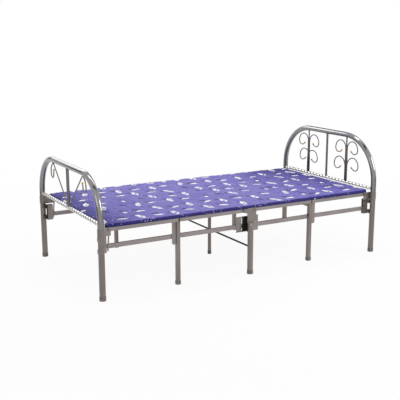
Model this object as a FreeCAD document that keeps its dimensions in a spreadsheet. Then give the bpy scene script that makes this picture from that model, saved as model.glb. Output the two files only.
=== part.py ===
"""Folding guest bed: a steel frame in four hinged deck sections between two arched ends.

Frame: +X runs from the foot end to the head end, +Z is up, the near side is -Y, and the
origin is on the floor at the middle of the bed.  Lengths are in millimetres.

The end legs and the centre legs stay upright on the floor.  Between each pair the deck
sections and their lower rails make parallelograms, and the prop legs rise as they fold.
Everything is drawn once, for the foot half and the near side, and mirrored.
"""
import FreeCAD, Part
import math
import os
import re

import Sketcher
from FreeCAD import Placement, Rotation, Vector

doc = FreeCAD.newDocument("FoldingBed")
sheet = doc.addObject("Spreadsheet::Sheet", "Sizes")

# ---------------------------------------------------------------- driving dimensions
sizes = {
    "leg_spacing": 1900.0,            # foot leg axis to head leg axis
    "leg_track": 964.0,               # near leg axis to far leg axis
    "end_tube_diameter": 35.0,
    "tube_wall": 1.0,
    "prop_tube_side": 22.0,
    "middle_tube_diameter": 22.0,
    "deck_pivot_height": 385.0,
    "lower_pivot_drop": 98.0,         # lower pivots under the deck pivots
    "end_pivot_reach": 52.0,          # end leg axis to the deck pivot
    "centre_pivot_reach": 37.0,       # centre leg axis to the deck pivot
    "prop_pivot_clear": 18.0,         # prop leg's face to the deck pivot
    "lower_pivot_shift": 3.0,         # lower pivots stand this far behind the deck pivots
    "rail_height": 20.0,
    "rail_width": 16.0,
    "lower_rail_height": 25.0,
    "lower_rail_width": 12.0,
    "lower_rail_wall": 1.0,
    "plate_thickness": 4.0,
    "plate_set_in": 2.0,              # hinge plates stand this far inside the leg tubes
    "cheek_thickness": 3.0,
    "running_gap": 0.5,               # between plates and rails that slide past each other
    "seat_gap": 0.2,                  # between parts of one frame that meet
    "pin_diameter": 8.0,
    "pin_clearance": 0.2,             # on the diameter
    "pin_end": 1.0,                   # a pin's end past or short of the face it passes
    "head_diameter": 14.0,
    "head_thickness": 3.0,
    "board_thickness": 5.0,
    "cover_thickness": 17.0,
    "cover_edge": 2.0,                # cover edge inside the outer face of the rails
    "board_edge": 6.0,
    "deck_notch": 8.0,                # gap between two sections over a prop leg
    "end_overhang": 15.0,             # cover beyond the pivot at the end legs
    "centre_overhang": 8.0,           # cover beyond the pivot at the centre legs
    "rail_overhang": 10.0,
    "batten_share": 0.3,              # battens stand this share of the span from each pivot
    "batten_width": 40.0,
    "batten_thickness": 12.0,
    "batten_gap": 12.0,               # batten ends to the lower rails
    "hinge_plate_below": 33.0,        # under the deck pivot
    "hinge_plate_above": 13.0,
    "hinge_plate_reach": 64.0,
    "collar_wall": 1.7,
    "channel_below": 35.0,            # under the lower pivot
    "channel_above": 63.0,
    "channel_near": 10.0,
    "channel_far": 46.0,
    "lug_height": 22.0,
    "lug_reach": 10.5,
    "spacer_height": 24.0,
    "spacer_length": 22.0,
    "spacer_shift": 3.0,              # from the leg axis towards the deck
    "spacer_inset": 3.0,
    "prop_plate_below": 47.0,         # under the lower pivot
    "prop_plate_below_deck": 1.0,     # plate tops under the rails' top faces
    "prop_plate_round": 12.5,
    "pivot_clip": 5.0,                # corner taken off a plate beside a turning board
    "prop_plate_margin": 9.0,         # past the deck pivot
    "prop_leg_drop": 13.0,            # leg tops under the deck pivot
    "prop_bar_drop": 1.0,             # bar under the leg tops
    "prop_bar_height": 20.0,
    "prop_lug_height": 24.0,
    "blade_below": 67.0,              # under the deck pivot
    "blade_above": 14.0,
    "blade_left": -12.0,
    "blade_right": 50.0,
    "blade_corner": 6.0,
    "blade_small_corner": 4.0,
    "swage_length": 18.0,
    "ear_radius": 10.0,
    "ear_flat": 3.0,                  # half the flat between an ear's cut corners
    "ear_fall": 8.0,                  # the ear's lower edge slopes down by this
    "centre_cheek_near": 41.0,
    "centre_cheek_far": 77.0,
    "centre_web_edge": 36.0,
    "centre_web_wall": 3.0,
    "centre_lug_reach": 54.0,
    "centre_plate_inset": 2.0,        # shorter than the end channels, at top and bottom
    "centre_spacer_height": 14.0,
    "centre_spacer_inset": 4.0,
    "tie_height": 6.0,
    "top_bar_drop": 17.0,             # under the deck pivot
    "top_bar_height": 25.0,
    "top_bar_thickness": 6.0,
    "cross_rod_height": 165.0,
    "cross_rod_diameter": 11.0,
    "foot_arch_rise": 283.0,          # axis of the footboard's top run, above the deck pivot
    "foot_bend_radius": 240.0,
    "head_arch_rise": 357.0,
    "head_bend_radius": 285.0,
    "end_bar_rise": 35.0,             # above the deck pivot
    "end_bar_diameter": 22.0,
    "foot_stay_diameter": 18.0,
    "head_stay_diameter": 15.0,
    "fan_rod_diameter": 7.0,
    "fan_rod_start": 14.0,            # from the middle of the bed
    "fan_rod_inset": 234.8,           # leg axis to the centre of the bend under the arch
    "fan_rod_crook": 16.0,            # radius of that bend
    "fan_rod_fall": 45.0,             # degrees below level after it
    "rod_lift": 0.5,                  # rod ends above the cross bar
    "upright_inset": 277.0,           # from the leg axis
    "upright_diameter": 10.0,
    "scroll_drop": 120.0,             # upper scrolls above lower scrolls
    "scroll_start": 92.0,             # upper scrolls leave this far under the arch's axis
    "scroll_radius": 50.0,
    "bead_diameter": 13.0,
    "foot_base": 4.0,
    "foot_cup_height": 22.0,
    "foot_cup_wall": 1.2,
    "hook_width": 8.0,
    "hook_hole": 4.5,
    "hook_below": 24.0,               # finger tail below its pin
    "hook_lean": 4.7,                 # degrees from upright, when locked
}
for row, (alias, number) in enumerate(sizes.items(), start=1):
    sheet.set(f"A{row}", alias)
    sheet.set(f"B{row}", str(number))
    sheet.setAlias(f"B{row}", alias)
doc.recompute()

# Places that several pieces share, as formulas over the sheet (near side, foot half).
foot_x = "(-leg_spacing / 2)"
prop_x = "(-(leg_spacing / 2 - end_pivot_reach + centre_pivot_reach) / 2)"
leg_y = "(leg_track / 2)"
tube_face = "(leg_track / 2 - end_tube_diameter / 2)"
plate_in = f"({tube_face} - plate_set_in)"
plate_out = f"({plate_in} + plate_thickness)"
rail_out = f"({plate_in} - running_gap)"
rail_in = f"({rail_out} - rail_width)"
cheek_out = f"({rail_in} - running_gap)"
cheek_in = f"({cheek_out} - cheek_thickness)"
lower_out = f"({cheek_in} - running_gap)"
lower_in = f"({lower_out} - lower_rail_width)"
lug_out = f"({lower_in} - running_gap)"
lug_in = f"({lug_out} - cheek_thickness)"
prop_out = f"({lower_in} + prop_tube_side)"
lower_z = "(deck_pivot_height - lower_pivot_drop)"
rail_low = "(deck_pivot_height - rail_height / 2)"
rail_high = "(deck_pivot_height + rail_height / 2)"
foot_pivot = f"({foot_x} + end_pivot_reach)"
foot_low_pivot = f"({foot_pivot} + lower_pivot_shift)"
prop_left_pivot = f"({prop_x} - prop_tube_side / 2 - prop_pivot_clear)"
prop_right_pivot = f"({prop_x} + prop_tube_side / 2 + prop_pivot_clear)"
prop_left_low = f"({prop_left_pivot} + lower_pivot_shift)"
prop_right_low = f"({prop_right_pivot} - lower_pivot_shift)"
centre_pivot = "(-centre_pivot_reach)"
centre_low_pivot = "(-centre_pivot_reach - lower_pivot_shift)"
tube_bottom = "(foot_base + seat_gap)"
channel_low = f"({lower_z} - channel_below)"
channel_high = f"({lower_z} + channel_above)"
hinge_plate_low = "(deck_pivot_height - hinge_plate_below)"
hinge_plate_high = "(deck_pivot_height + hinge_plate_above)"
prop_plate_low = f"({lower_z} - prop_plate_below)"
prop_leg_top = "(deck_pivot_height - prop_leg_drop)"
blade_low = "(deck_pivot_height - blade_below)"
blade_high = "(deck_pivot_height + blade_above)"
swage_low = f"({blade_low} - swage_length)"
top_bar_low = "(deck_pivot_height - top_bar_drop)"
end_bar_z = "(deck_pivot_height + end_bar_rise)"
end_bar_top = f"({end_bar_z} + end_bar_diameter / 2 + seat_gap)"
pin_hole = "(pin_diameter + pin_clearance)"
seat_hole = "(pin_diameter + 2 * seat_gap)"

foot_arch_height = "(deck_pivot_height + foot_arch_rise)"
head_arch_height = "(deck_pivot_height + head_arch_rise)"
upright_y = "(leg_track / 2 - upright_inset)"

# Bent rods, as (straight run, bend radius, turn in degrees) after their first bend.
fan_rod_bends = [(22.0, 52.0, 55.0), (8.0, 22.0, 160.0), (26.0, 0.0, 0.0)]
scroll_bends = [(0.0, 53.0, 90.0), (0.0, 30.0, 90.0), (0.0, 45.0, 42.0)]

nodes = {}


# ---------------------------------------------------------------- small building tools
def formula(text):
    """Point every dimension's name in a formula at its cell of the sheet."""
    return re.sub(r"[a-z]+(_[a-z]+)+", lambda word: "Sizes." + word.group(0), text)


def size(text):
    """The number that a dimension's name, or a formula over such names, stands for."""
    return float(sheet.evalExpression(formula(text)))


def tie(thing, place, text):
    thing.setExpression(place, formula(text))


def box(x, y, z, name="Block"):
    """A box from its low and high formulas along each axis."""
    block = doc.addObject("Part::Box", name)
    for axis, side, (low, high) in zip("xyz", ("Length", "Width", "Height"), (x, y, z)):
        tie(block, side, f"({high}) - ({low})")
        tie(block, f"Placement.Base.{axis}", low)
    return block


def rod(along, diameter, low, high, centre, name="Rod"):
    """A round bar along one axis; centre gives its place on the other two axes."""
    bar = doc.addObject("Part::Cylinder", name)
    turn = {"x": Rotation(Vector(0, 1, 0), 90), "y": Rotation(Vector(1, 0, 0), -90), "z": Rotation()}
    bar.Placement = Placement(Vector(), turn[along])
    tie(bar, "Radius", f"({diameter}) / 2")
    tie(bar, "Height", f"({high}) - ({low})")
    tie(bar, f"Placement.Base.{along}", low)
    for axis, text in zip([a for a in "xyz" if a != along], centre):
        tie(bar, f"Placement.Base.{axis}", text)
    return bar


def ball(diameter, x, y, z):
    bead = doc.addObject("Part::Sphere", "Bead")
    tie(bead, "Radius", f"({diameter}) / 2")
    for axis, text in zip("xyz", (x, y, z)):
        tie(bead, f"Placement.Base.{axis}", text)
    return bead


def group(pieces, name="Group"):
    several = doc.addObject("Part::Compound", name)
    several.Links = pieces
    return several


def fuse(pieces, name="Joined"):
    joined = doc.addObject("Part::MultiFuse", name)
    joined.Shapes = pieces
    return joined


def cut(solid, tools, name="Trimmed"):
    trimmed = doc.addObject("Part::Cut", name)
    trimmed.Base = solid
    trimmed.Tool = tools[0] if len(tools) == 1 else group(tools, "Tools")
    return trimmed


def mirrored(source, normal, name="Mirror"):
    other = doc.addObject("Part::Mirroring", name)
    other.Source = source
    other.Normal = normal
    return other


def both_sides(pieces):
    """The near pieces and their mirror images on the far side."""
    return pieces + [mirrored(piece, Vector(0, 1, 0)) for piece in pieces]


def node(label, thing):
    thing.Label = label
    nodes[label] = thing
    return thing


def head_copy(label, foot_label):
    """The head half's piece, a mirror image of the foot half's."""
    return node(label, mirrored(nodes[foot_label], Vector(1, 0, 0)))


def near(low, high):
    """A span of distances from the middle plane, as y on the near side."""
    return f"-({high})", f"-({low})"


def hollow_box(x, y, z, wall, along):
    """A rectangular tube, open at both ends."""
    shrink = {axis: f"({wall})" for axis in "xyz"}
    shrink[along] = "-1"
    inner = [(f"({low}) + {shrink[axis]}", f"({high}) - {shrink[axis]}")
             for axis, (low, high) in zip("xyz", (x, y, z))]
    return cut(box(x, y, z), [box(*inner)])


def round_tube(diameter, wall, low, high, centre):
    outer = rod("z", diameter, low, high, centre)
    bore = rod("z", f"{diameter} - 2 * {wall}", f"{low} - 1", f"{high} + 1", centre)
    return cut(outer, [bore])


def new_sketch(body, role, name, offset="0"):
    """A sketch on one of a body's own origin planes, moved along that plane's normal."""
    plane = next(p for p in body.Origin.OriginFeatures if p.Role == role)
    sketch = body.newObject("Sketcher::SketchObject", name)
    sketch.AttachmentSupport = [(plane, "")]
    sketch.MapMode = "FlatFace"
    if offset != "0":
        tie(sketch, "AttachmentOffset.Base.z", offset)
    return sketch


def fix_point(sketch, piece, end, u, v):
    """Hold one point of the sketch at formulas for its two coordinates."""
    at = sketch.getPoint(piece, end)
    for kind, start, text in (("DistanceX", at.x, u), ("DistanceY", at.y, v)):
        index = sketch.addConstraint(Sketcher.Constraint(kind, -1, 1, piece, end, start))
        tie(sketch, f"Constraints[{index}]", text)


def draw_outline(sketch, corners):
    """A closed outline whose corners are formulas; it starts as a small regular polygon."""
    count = len(corners)
    start = [Vector(10 * math.cos(2 * math.pi * i / count), 10 * math.sin(2 * math.pi * i / count))
             for i in range(count)]
    first = sketch.GeometryCount
    for i in range(count):
        sketch.addGeometry(Part.LineSegment(start[i], start[(i + 1) % count]))
    for i, (u, v) in enumerate(corners):
        sketch.addConstraint(Sketcher.Constraint("Coincident", first + i, 2, first + (i + 1) % count, 1))
        fix_point(sketch, first + i, 1, u, v)


def draw_circle(sketch, diameter, u, v):
    piece = sketch.addGeometry(Part.Circle(Vector(), Vector(0, 0, 1), 5))
    fix_point(sketch, piece, 3, u, v)
    index = sketch.addConstraint(Sketcher.Constraint("Radius", piece, 5.0))
    tie(sketch, f"Constraints[{index}]", f"({diameter}) / 2")


def pad(body, sketch, length):
    feature = body.newObject("PartDesign::Pad", "Pad")
    feature.Profile = sketch
    tie(feature, "Length", length)
    sketch.Visibility = False
    return feature


def flat_plate(corners, holes, inner, thickness, name="Plate"):
    """A flat plate on the near side: an outline in X and Z, padded away from the middle."""
    body = doc.addObject("PartDesign::Body", name)
    outline = new_sketch(body, "XZ_Plane", "Outline", inner)
    draw_outline(outline, corners)
    for diameter, u, v in holes:
        draw_circle(outline, diameter, u, v)
    pad(body, outline, thickness)
    return body


def rectangle(x_low, x_high, z_low, z_high):
    return [(x_low, z_low), (x_high, z_low), (x_high, z_high), (x_low, z_high)]


# ---------------------------------------------------------------- frame members
def arch(label, x, height, radius):
    """An end frame's tube: up one leg, over the top with two bends, down the other leg."""
    body = doc.addObject("PartDesign::Body", "ArchTube")
    tie(body, "Placement.Base.x", x)
    ring = new_sketch(body, "XY_Plane", "Ring", tube_bottom)
    draw_circle(ring, "end_tube_diameter", "0", f"-{leg_y}")
    draw_circle(ring, "end_tube_diameter - 2 * tube_wall", "0", f"-{leg_y}")

    half, base, top, bend = size(leg_y), size(tube_bottom), size(height), size(radius)
    line = new_sketch(body, "YZ_Plane", "Line")
    line.addGeometry(Part.LineSegment(Vector(-half, base), Vector(-half, top - bend)))
    left = Part.Circle(Vector(bend - half, top - bend), Vector(0, 0, 1), bend)
    line.addGeometry(Part.ArcOfCircle(left, math.pi / 2, math.pi))
    line.addGeometry(Part.LineSegment(Vector(bend - half, top), Vector(half - bend, top)))
    right = Part.Circle(Vector(half - bend, top - bend), Vector(0, 0, 1), bend)
    line.addGeometry(Part.ArcOfCircle(right, 0, math.pi / 2))
    line.addGeometry(Part.LineSegment(Vector(half, top - bend), Vector(half, base)))
    for joint in ((0, 2, 1, 2), (1, 1, 2, 1), (2, 2, 3, 2), (3, 1, 4, 1)):
        line.addConstraint(Sketcher.Constraint("Tangent", *joint))
    fix_point(line, 0, 1, f"-{leg_y}", tube_bottom)
    fix_point(line, 4, 2, leg_y, tube_bottom)
    line.addConstraint(Sketcher.Constraint("Vertical", 0))
    line.addConstraint(Sketcher.Constraint("Vertical", 4))
    line.addConstraint(Sketcher.Constraint("Horizontal", 2))
    for piece in (1, 3):
        index = line.addConstraint(Sketcher.Constraint("Radius", piece, bend))
        tie(line, f"Constraints[{index}]", radius)
    index = line.addConstraint(Sketcher.Constraint("DistanceY", -1, 1, 2, 1, top))
    tie(line, f"Constraints[{index}]", height)
    doc.recompute()

    pipe = body.newObject("PartDesign::AdditivePipe", "Tube")
    pipe.Profile = ring
    pipe.Spine = (line, [f"Edge{i + 1}" for i in range(5)])
    ring.Visibility = line.Visibility = False
    return node(label, body)


def rail_hole(x, low, high):
    """A pin hole across the bed through a deck rail, between two distances from the middle."""
    return rod("y", pin_hole, f"-({high})", f"-({low})", (x, "deck_pivot_height"))


def deck_section(number, low, high, end_pivot, prop_pivot, cover_low, cover_high):
    """One section of the deck: two side rails, a board with two battens, and a padded cover."""
    rail = hollow_box((low, high), near(rail_in, rail_out), (rail_low, rail_high), "tube_wall", "x")
    through = rail_hole(end_pivot, f"{rail_in} - 1", f"{rail_out} + 1")
    blind = rail_hole(prop_pivot, f"{rail_in} - 1", f"{rail_out} - 2 * tube_wall")
    node(f"deck_frame_{number}", group(both_sides([cut(rail, [through, blind])])))
    edge = f"({rail_out} - board_edge)"
    board_low = f"({rail_high} + seat_gap)"
    board_top = f"({board_low} + board_thickness)"
    pieces = [box((cover_low, cover_high), (f"-{edge}", edge), (board_low, board_top))]
    for pivot, other in ((end_pivot, prop_pivot), (prop_pivot, end_pivot)):
        middle = f"({pivot} + ({other} - {pivot}) * batten_share)"
        pieces.append(box((f"{middle} - batten_width / 2", f"{middle} + batten_width / 2"),
                          (f"-({lower_in} - batten_gap)", f"{lower_in} - batten_gap"),
                          (f"{board_low} - batten_thickness - seat_gap", f"{board_low} - seat_gap")))
    node(f"deck_board_{number}", group(pieces))
    edge = f"({rail_out} - cover_edge)"
    cover = box((cover_low, cover_high), (f"-{edge}", edge),
                (f"{board_top} + seat_gap", f"{rail_high} + board_thickness + cover_thickness"))
    node(f"deck_cover_{number}", cover)


def lower_rails(number, low, high):
    """The two lower links of a section: flat tubes with rounded, drilled ends."""
    half = "lower_rail_height / 2"
    across = near(lower_in, lower_out)
    bar = box((low, high), across, (f"{lower_z} - {half}", f"{lower_z} + {half}"))
    ends = [rod("y", "lower_rail_height", *across, (x, lower_z)) for x in (low, high)]
    inner_half = f"({half} - lower_rail_wall)"
    bore = box((f"{low} + {half}", f"{high} - {half}"),
               near(f"{lower_in} + lower_rail_wall", f"{lower_out} - lower_rail_wall"),
               (f"{lower_z} - {inner_half}", f"{lower_z} + {inner_half}"))
    holes = [rod("y", pin_hole, f"-{lower_out} - 1", f"-{lower_in} + 1", (x, lower_z))
             for x in (low, high)]
    node(f"lower_rails_{number}", group(both_sides([cut(fuse([bar] + ends), [bore] + holes)])))


def outside_pin(x):
    """A deck pin put in from outside through a hinge plate, into the rail."""
    place = (x, "deck_pivot_height")
    shank = rod("y", "pin_diameter", f"-({plate_out} + pin_end)", f"-({rail_in} + pin_end)", place)
    head = rod("y", "head_diameter", f"-({plate_out} + seat_gap + head_thickness)",
               f"-({plate_out} + seat_gap)", place)
    return fuse([shank, head])


def inside_pin(x):
    """A deck pin welded in a prop plate, its end in the hollow of the rail."""
    return rod("y", "pin_diameter", f"-({rail_out} - 2 * tube_wall - pin_end)",
               f"-({cheek_in} - seat_gap)", (x, "deck_pivot_height"))


def lower_pin(x):
    """A lower rail's pin, put in from the middle of the bed through its lug."""
    place = (x, lower_z)
    shank = rod("y", "pin_diameter", f"-({lower_out} - pin_end / 2)", f"-({lug_in} - pin_end)", place)
    head = rod("y", "head_diameter", f"-({lug_in} - seat_gap)",
               f"-({lug_in} - seat_gap - head_thickness)", place)
    return fuse([shank, head])


def foot_cups(label, x, places):
    """Plastic cups under round legs; places are (y, tube diameter)."""
    cups = []
    for y, tube in places:
        shell = rod("z", f"{tube} + 2 * seat_gap + 2 * foot_cup_wall", "0", "foot_cup_height", (x, y))
        bore = rod("z", f"{tube} + 2 * seat_gap", "foot_base", "foot_cup_height + 1", (x, y))
        cups.append(cut(shell, [bore]))
    return node(label, group(cups))


# ---------------------------------------------------------------- foot half: deck and links
def deck():
    notch = "deck_notch / 2"
    deck_section(1, f"{foot_pivot} - rail_overhang", f"{prop_x} - {notch}", foot_pivot, prop_left_pivot,
                 f"{foot_pivot} - end_overhang", f"{prop_x} - {notch}")
    deck_section(2, f"{prop_x} + {notch}", f"{centre_pivot} + centre_overhang", centre_pivot,
                 prop_right_pivot, f"{prop_x} + {notch}", f"{centre_pivot} + centre_overhang")
    lower_rails(1, foot_low_pivot, prop_left_low)
    lower_rails(2, prop_right_low, centre_low_pivot)


# ---------------------------------------------------------------- foot half: prop legs
def prop_legs():
    """The pair of square legs between two sections, with their plates, bar, pins and feet."""
    half = "prop_tube_side / 2"
    across = near(lower_in, prop_out)
    legs = hollow_box((f"{prop_x} - {half}", f"{prop_x} + {half}"), across,
                      (tube_bottom, prop_leg_top), "tube_wall", "z")
    node("foot_prop_legs", group(both_sides([legs])))

    reach = f"({lower_in} - seat_gap)"
    bar_half = "prop_bar_height / 2"
    bar_top = f"({prop_leg_top} - prop_bar_drop)"
    bar = hollow_box((f"{prop_x} - {bar_half}", f"{prop_x} + {bar_half}"), (f"-{reach}", reach),
                     (f"{bar_top} - prop_bar_height", bar_top), "tube_wall", "y")
    node("foot_prop_crossbar", bar)

    side = f"({prop_x} - {half} - seat_gap)"
    left = f"({prop_left_pivot} - prop_plate_margin)"
    right = f"({prop_right_pivot} + prop_plate_margin)"
    top = f"({rail_high} - prop_plate_below_deck)"
    tall = flat_plate(
        [(left, prop_plate_low), (side, prop_plate_low), (side, top),
         (f"{left} + pivot_clip", top), (left, f"{top} - pivot_clip")],
        [(seat_hole, prop_left_pivot, "deck_pivot_height")], cheek_in, "cheek_thickness", "TallPlate")
    round_lower_end(tall, f"min(prop_plate_round; ({side} - {left}) / 2 - pin_end / 10)")
    side = f"({prop_x} + {half} + seat_gap)"
    low = f"({rail_low} + prop_plate_below_deck)"
    ear = flat_plate(
        [(side, low), (right, low), (right, f"{top} - pivot_clip"), (f"{right} - pivot_clip", top),
         (side, top)],
        [(seat_hole, prop_right_pivot, "deck_pivot_height")], cheek_in, "cheek_thickness", "EarPlate")
    lug_half = "prop_lug_height / 2"
    strip = flat_plate(
        rectangle(left, right, f"{lower_z} - {lug_half}", f"{lower_z} + {lug_half}"),
        [(seat_hole, prop_left_low, lower_z), (seat_hole, prop_right_low, lower_z)],
        lug_in, "cheek_thickness", "LugStrip")
    node("foot_prop_brackets", group(both_sides([tall, ear, strip])))

    pins = [inside_pin(x) for x in (prop_left_pivot, prop_right_pivot)]
    pins += [lower_pin(x) for x in (prop_left_low, prop_right_low)]
    node("foot_prop_pins", group(both_sides(pins)))

    wall = "(seat_gap + foot_cup_wall)"
    low, high = across
    shell = box((f"{prop_x} - {half} - {wall}", f"{prop_x} + {half} + {wall}"),
                (f"{low} - {wall}", f"{high} + {wall}"), ("0", "foot_cup_height"))
    bore = box((f"{prop_x} - {half} - seat_gap", f"{prop_x} + {half} + seat_gap"),
               (f"{low} - seat_gap", f"{high} + seat_gap"), ("foot_base", "foot_cup_height + 1"))
    node("foot_prop_feet", group(both_sides([cut(shell, [bore])])))


def round_lower_end(body, radius):
    """Round the two lower corners of a plate."""
    doc.recompute()
    feature = body.Tip
    bottom = feature.Shape.BoundBox.ZMin + size("plate_thickness") / 10
    corners = [f"Edge{i}" for i, edge in enumerate(feature.Shape.Edges, start=1)
               if edge.BoundBox.ZMax < bottom and edge.BoundBox.YLength > edge.BoundBox.XLength]
    fillet = body.newObject("PartDesign::Fillet", "RoundEnd")
    fillet.Base = (feature, corners)
    tie(fillet, "Radius", radius)
    body.Tip = fillet


# ---------------------------------------------------------------- end brackets, same at both ends
def spacers(along, height, ends):
    """Two blocks that hold a bracket off its leg, one at each end of a span of heights."""
    low, high = ends
    across = near(f"{cheek_out} + seat_gap", f"{tube_face} - seat_gap")
    return [box(along, across, span) for span in ((low, f"{low} + {height}"), (f"{high} - {height}", high))]


def end_brackets():
    back, front = f"({foot_x} + channel_near)", f"({foot_x} + channel_far)"
    height = (channel_low, channel_high)
    cheek = box((back, front), near(cheek_in, cheek_out), height)
    web = box((back, f"{back} + cheek_thickness"), near(lug_in, cheek_out), height)
    inner = box((back, front), near(lug_in, lug_out), height)
    lug = box((f"{back} + cheek_thickness", f"{foot_low_pivot} + lug_reach"), near(lug_in, lug_out),
              (f"{lower_z} - lug_height / 2", f"{lower_z} + lug_height / 2"))
    hole = rod("y", seat_hole, f"-{lug_out} - 1", f"-{lug_in} + 1", (foot_low_pivot, lower_z))
    channel = cut(fuse([cheek, web, inner, lug]), [hole])
    middle = f"({foot_x} + spacer_shift)"
    blocks = spacers((f"{middle} - spacer_length / 2", f"{middle} + spacer_length / 2"), "spacer_height",
                     (f"{channel_low} + spacer_inset", f"{channel_high} - spacer_inset"))
    node("footboard_lower_brackets", group(both_sides([channel] + blocks)))

    collar_height = (hinge_plate_low, hinge_plate_high)
    centre = (foot_x, f"-{leg_y}")
    collar = rod("z", "end_tube_diameter + 2 * seat_gap + 2 * collar_wall", *collar_height, centre)
    wing = box((foot_x, f"{foot_x} + hinge_plate_reach"), near(plate_in, plate_out), collar_height)
    bore = rod("z", "end_tube_diameter + 2 * seat_gap", f"{hinge_plate_low} - 1",
               f"{hinge_plate_high} + 1", centre)
    hole = rod("y", seat_hole, f"-{plate_out} - 1", f"-{plate_in} + 1", (foot_pivot, "deck_pivot_height"))
    node("footboard_hinge_plates", group(both_sides([cut(fuse([collar, wing]), [bore, hole])])))
    spigot = rod("y", "hook_hole - pin_clearance", f"-({cheek_out} + seat_gap)",
                 f"-({lower_out} - pin_end)", (foot_low_pivot, lower_z))
    hook_pin = fuse([lower_pin(foot_low_pivot), spigot])
    node("footboard_pins", group(both_sides([outside_pin(foot_pivot), hook_pin])))
    foot_cups("footboard_feet", foot_x, [(f"-{leg_y}", "end_tube_diameter"), (leg_y, "end_tube_diameter")])


def end_cross_bar(label, x):
    """The bar between an end frame's legs, with its ends cut to lie against the tubes."""
    bar = rod("y", "end_bar_diameter", f"-{leg_y}", leg_y, (x, end_bar_z))
    bore = rod("y", "end_bar_diameter - 2 * tube_wall", f"-{leg_y} - 1", f"{leg_y} + 1", (x, end_bar_z))
    legs = [rod("z", "end_tube_diameter + 2 * seat_gap", f"{end_bar_z} - end_bar_diameter",
                f"{end_bar_z} + end_bar_diameter", (x, y))
            for y in (f"-{leg_y}", leg_y)]
    return node(label, cut(bar, [bore] + legs))


def stay(label, x, diameter, arch_height):
    """The upright tube in the middle of an end frame."""
    return node(label, round_tube(diameter, "tube_wall", end_bar_top,
                                  f"({arch_height} - end_tube_diameter / 2 - seat_gap)", (x, "0")))


def bent_rod(diameter, start, heading, moves):
    """A round rod bent in the Y-Z plane, and the centre of the bead on its far end.

    Each move is a straight run, then a bend to the right.
    start is (y, z), heading is in degrees from +Y, and each move is (run, radius, turn)."""
    here = Vector(0, *start)
    edges = []
    direction = math.radians(heading)
    for run, radius, turn in moves:
        if run:
            there = here + Vector(0, math.cos(direction), math.sin(direction)) * run
            edges.append(Part.LineSegment(here, there).toShape())
            here = there
        if turn:
            centre = here + Vector(0, math.sin(direction), -math.cos(direction)) * radius
            points = [here]
            for share in (0.5, 1.0):
                angle = direction - math.radians(turn) * share
                points.append(centre + Vector(0, -math.sin(angle), math.cos(angle)) * radius)
            edges.append(Part.Arc(*points).toShape())
            here = points[-1]
            direction -= math.radians(turn)
    first = math.radians(heading)
    circle = Part.Circle(Vector(0, *start), Vector(0, math.cos(first), math.sin(first)), diameter / 2)
    profile = Part.Wire([circle.toShape()])
    onward = Vector(0, math.cos(direction), math.sin(direction))
    bead_centre = here + onward * (size("bead_diameter") / 2 + size("seat_gap"))
    return Part.Wire(edges).makePipeShell([profile], True, False), bead_centre


# ---------------------------------------------------------------- footboard
def footboard():
    arch("footboard_arch", foot_x, foot_arch_height, "foot_bend_radius")
    end_cross_bar("footboard_twisted_bar", foot_x)
    stay("footboard_stay", foot_x, "foot_stay_diameter", foot_arch_height)
    end_brackets()

    # Two rods fan out from the foot of the stay, bend over under the arch and hook back up.
    start = (size("fan_rod_start"), size(f"{end_bar_top} + fan_rod_diameter / 2 + rod_lift"))
    crook = size("fan_rod_crook")
    across = size("leg_track / 2 - fan_rod_inset") - start[0]
    under_arch = size(f"{foot_arch_height} - (end_tube_diameter + fan_rod_diameter) / 2 - seat_gap")
    up = under_arch - crook - start[1]
    away = math.hypot(across, up)
    lean = math.degrees(math.atan2(up, across) + math.asin(crook / away))
    run = math.sqrt(away ** 2 - crook ** 2)
    moves = [(run, crook, lean + size("fan_rod_fall"))] + fan_rod_bends
    shape, tip = bent_rod(size("fan_rod_diameter"), start, lean, moves)
    place_pair("footboard_fan_rods", "footboard_beads", [(shape, tip, 0.0)], foot_x)


def place_pair(rod_label, bead_label, bent, x):
    """Bent rods and their beads, at an end frame's plane, with their mirror images."""
    rods, beads = [], []
    for shape, tip, shift in bent:
        feature = doc.addObject("Part::Feature", "BentRod")
        feature.Shape = shape
        tie(feature, "Placement.Base.x", f"{x} + {shift}")
        rods.append(feature)
        bead = ball("bead_diameter", f"{x} + {shift}", str(tip.y), str(tip.z))
        beads.append(bead)
    node(rod_label, group(both_sides(rods)))
    node(bead_label, group(both_sides(beads)))


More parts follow.
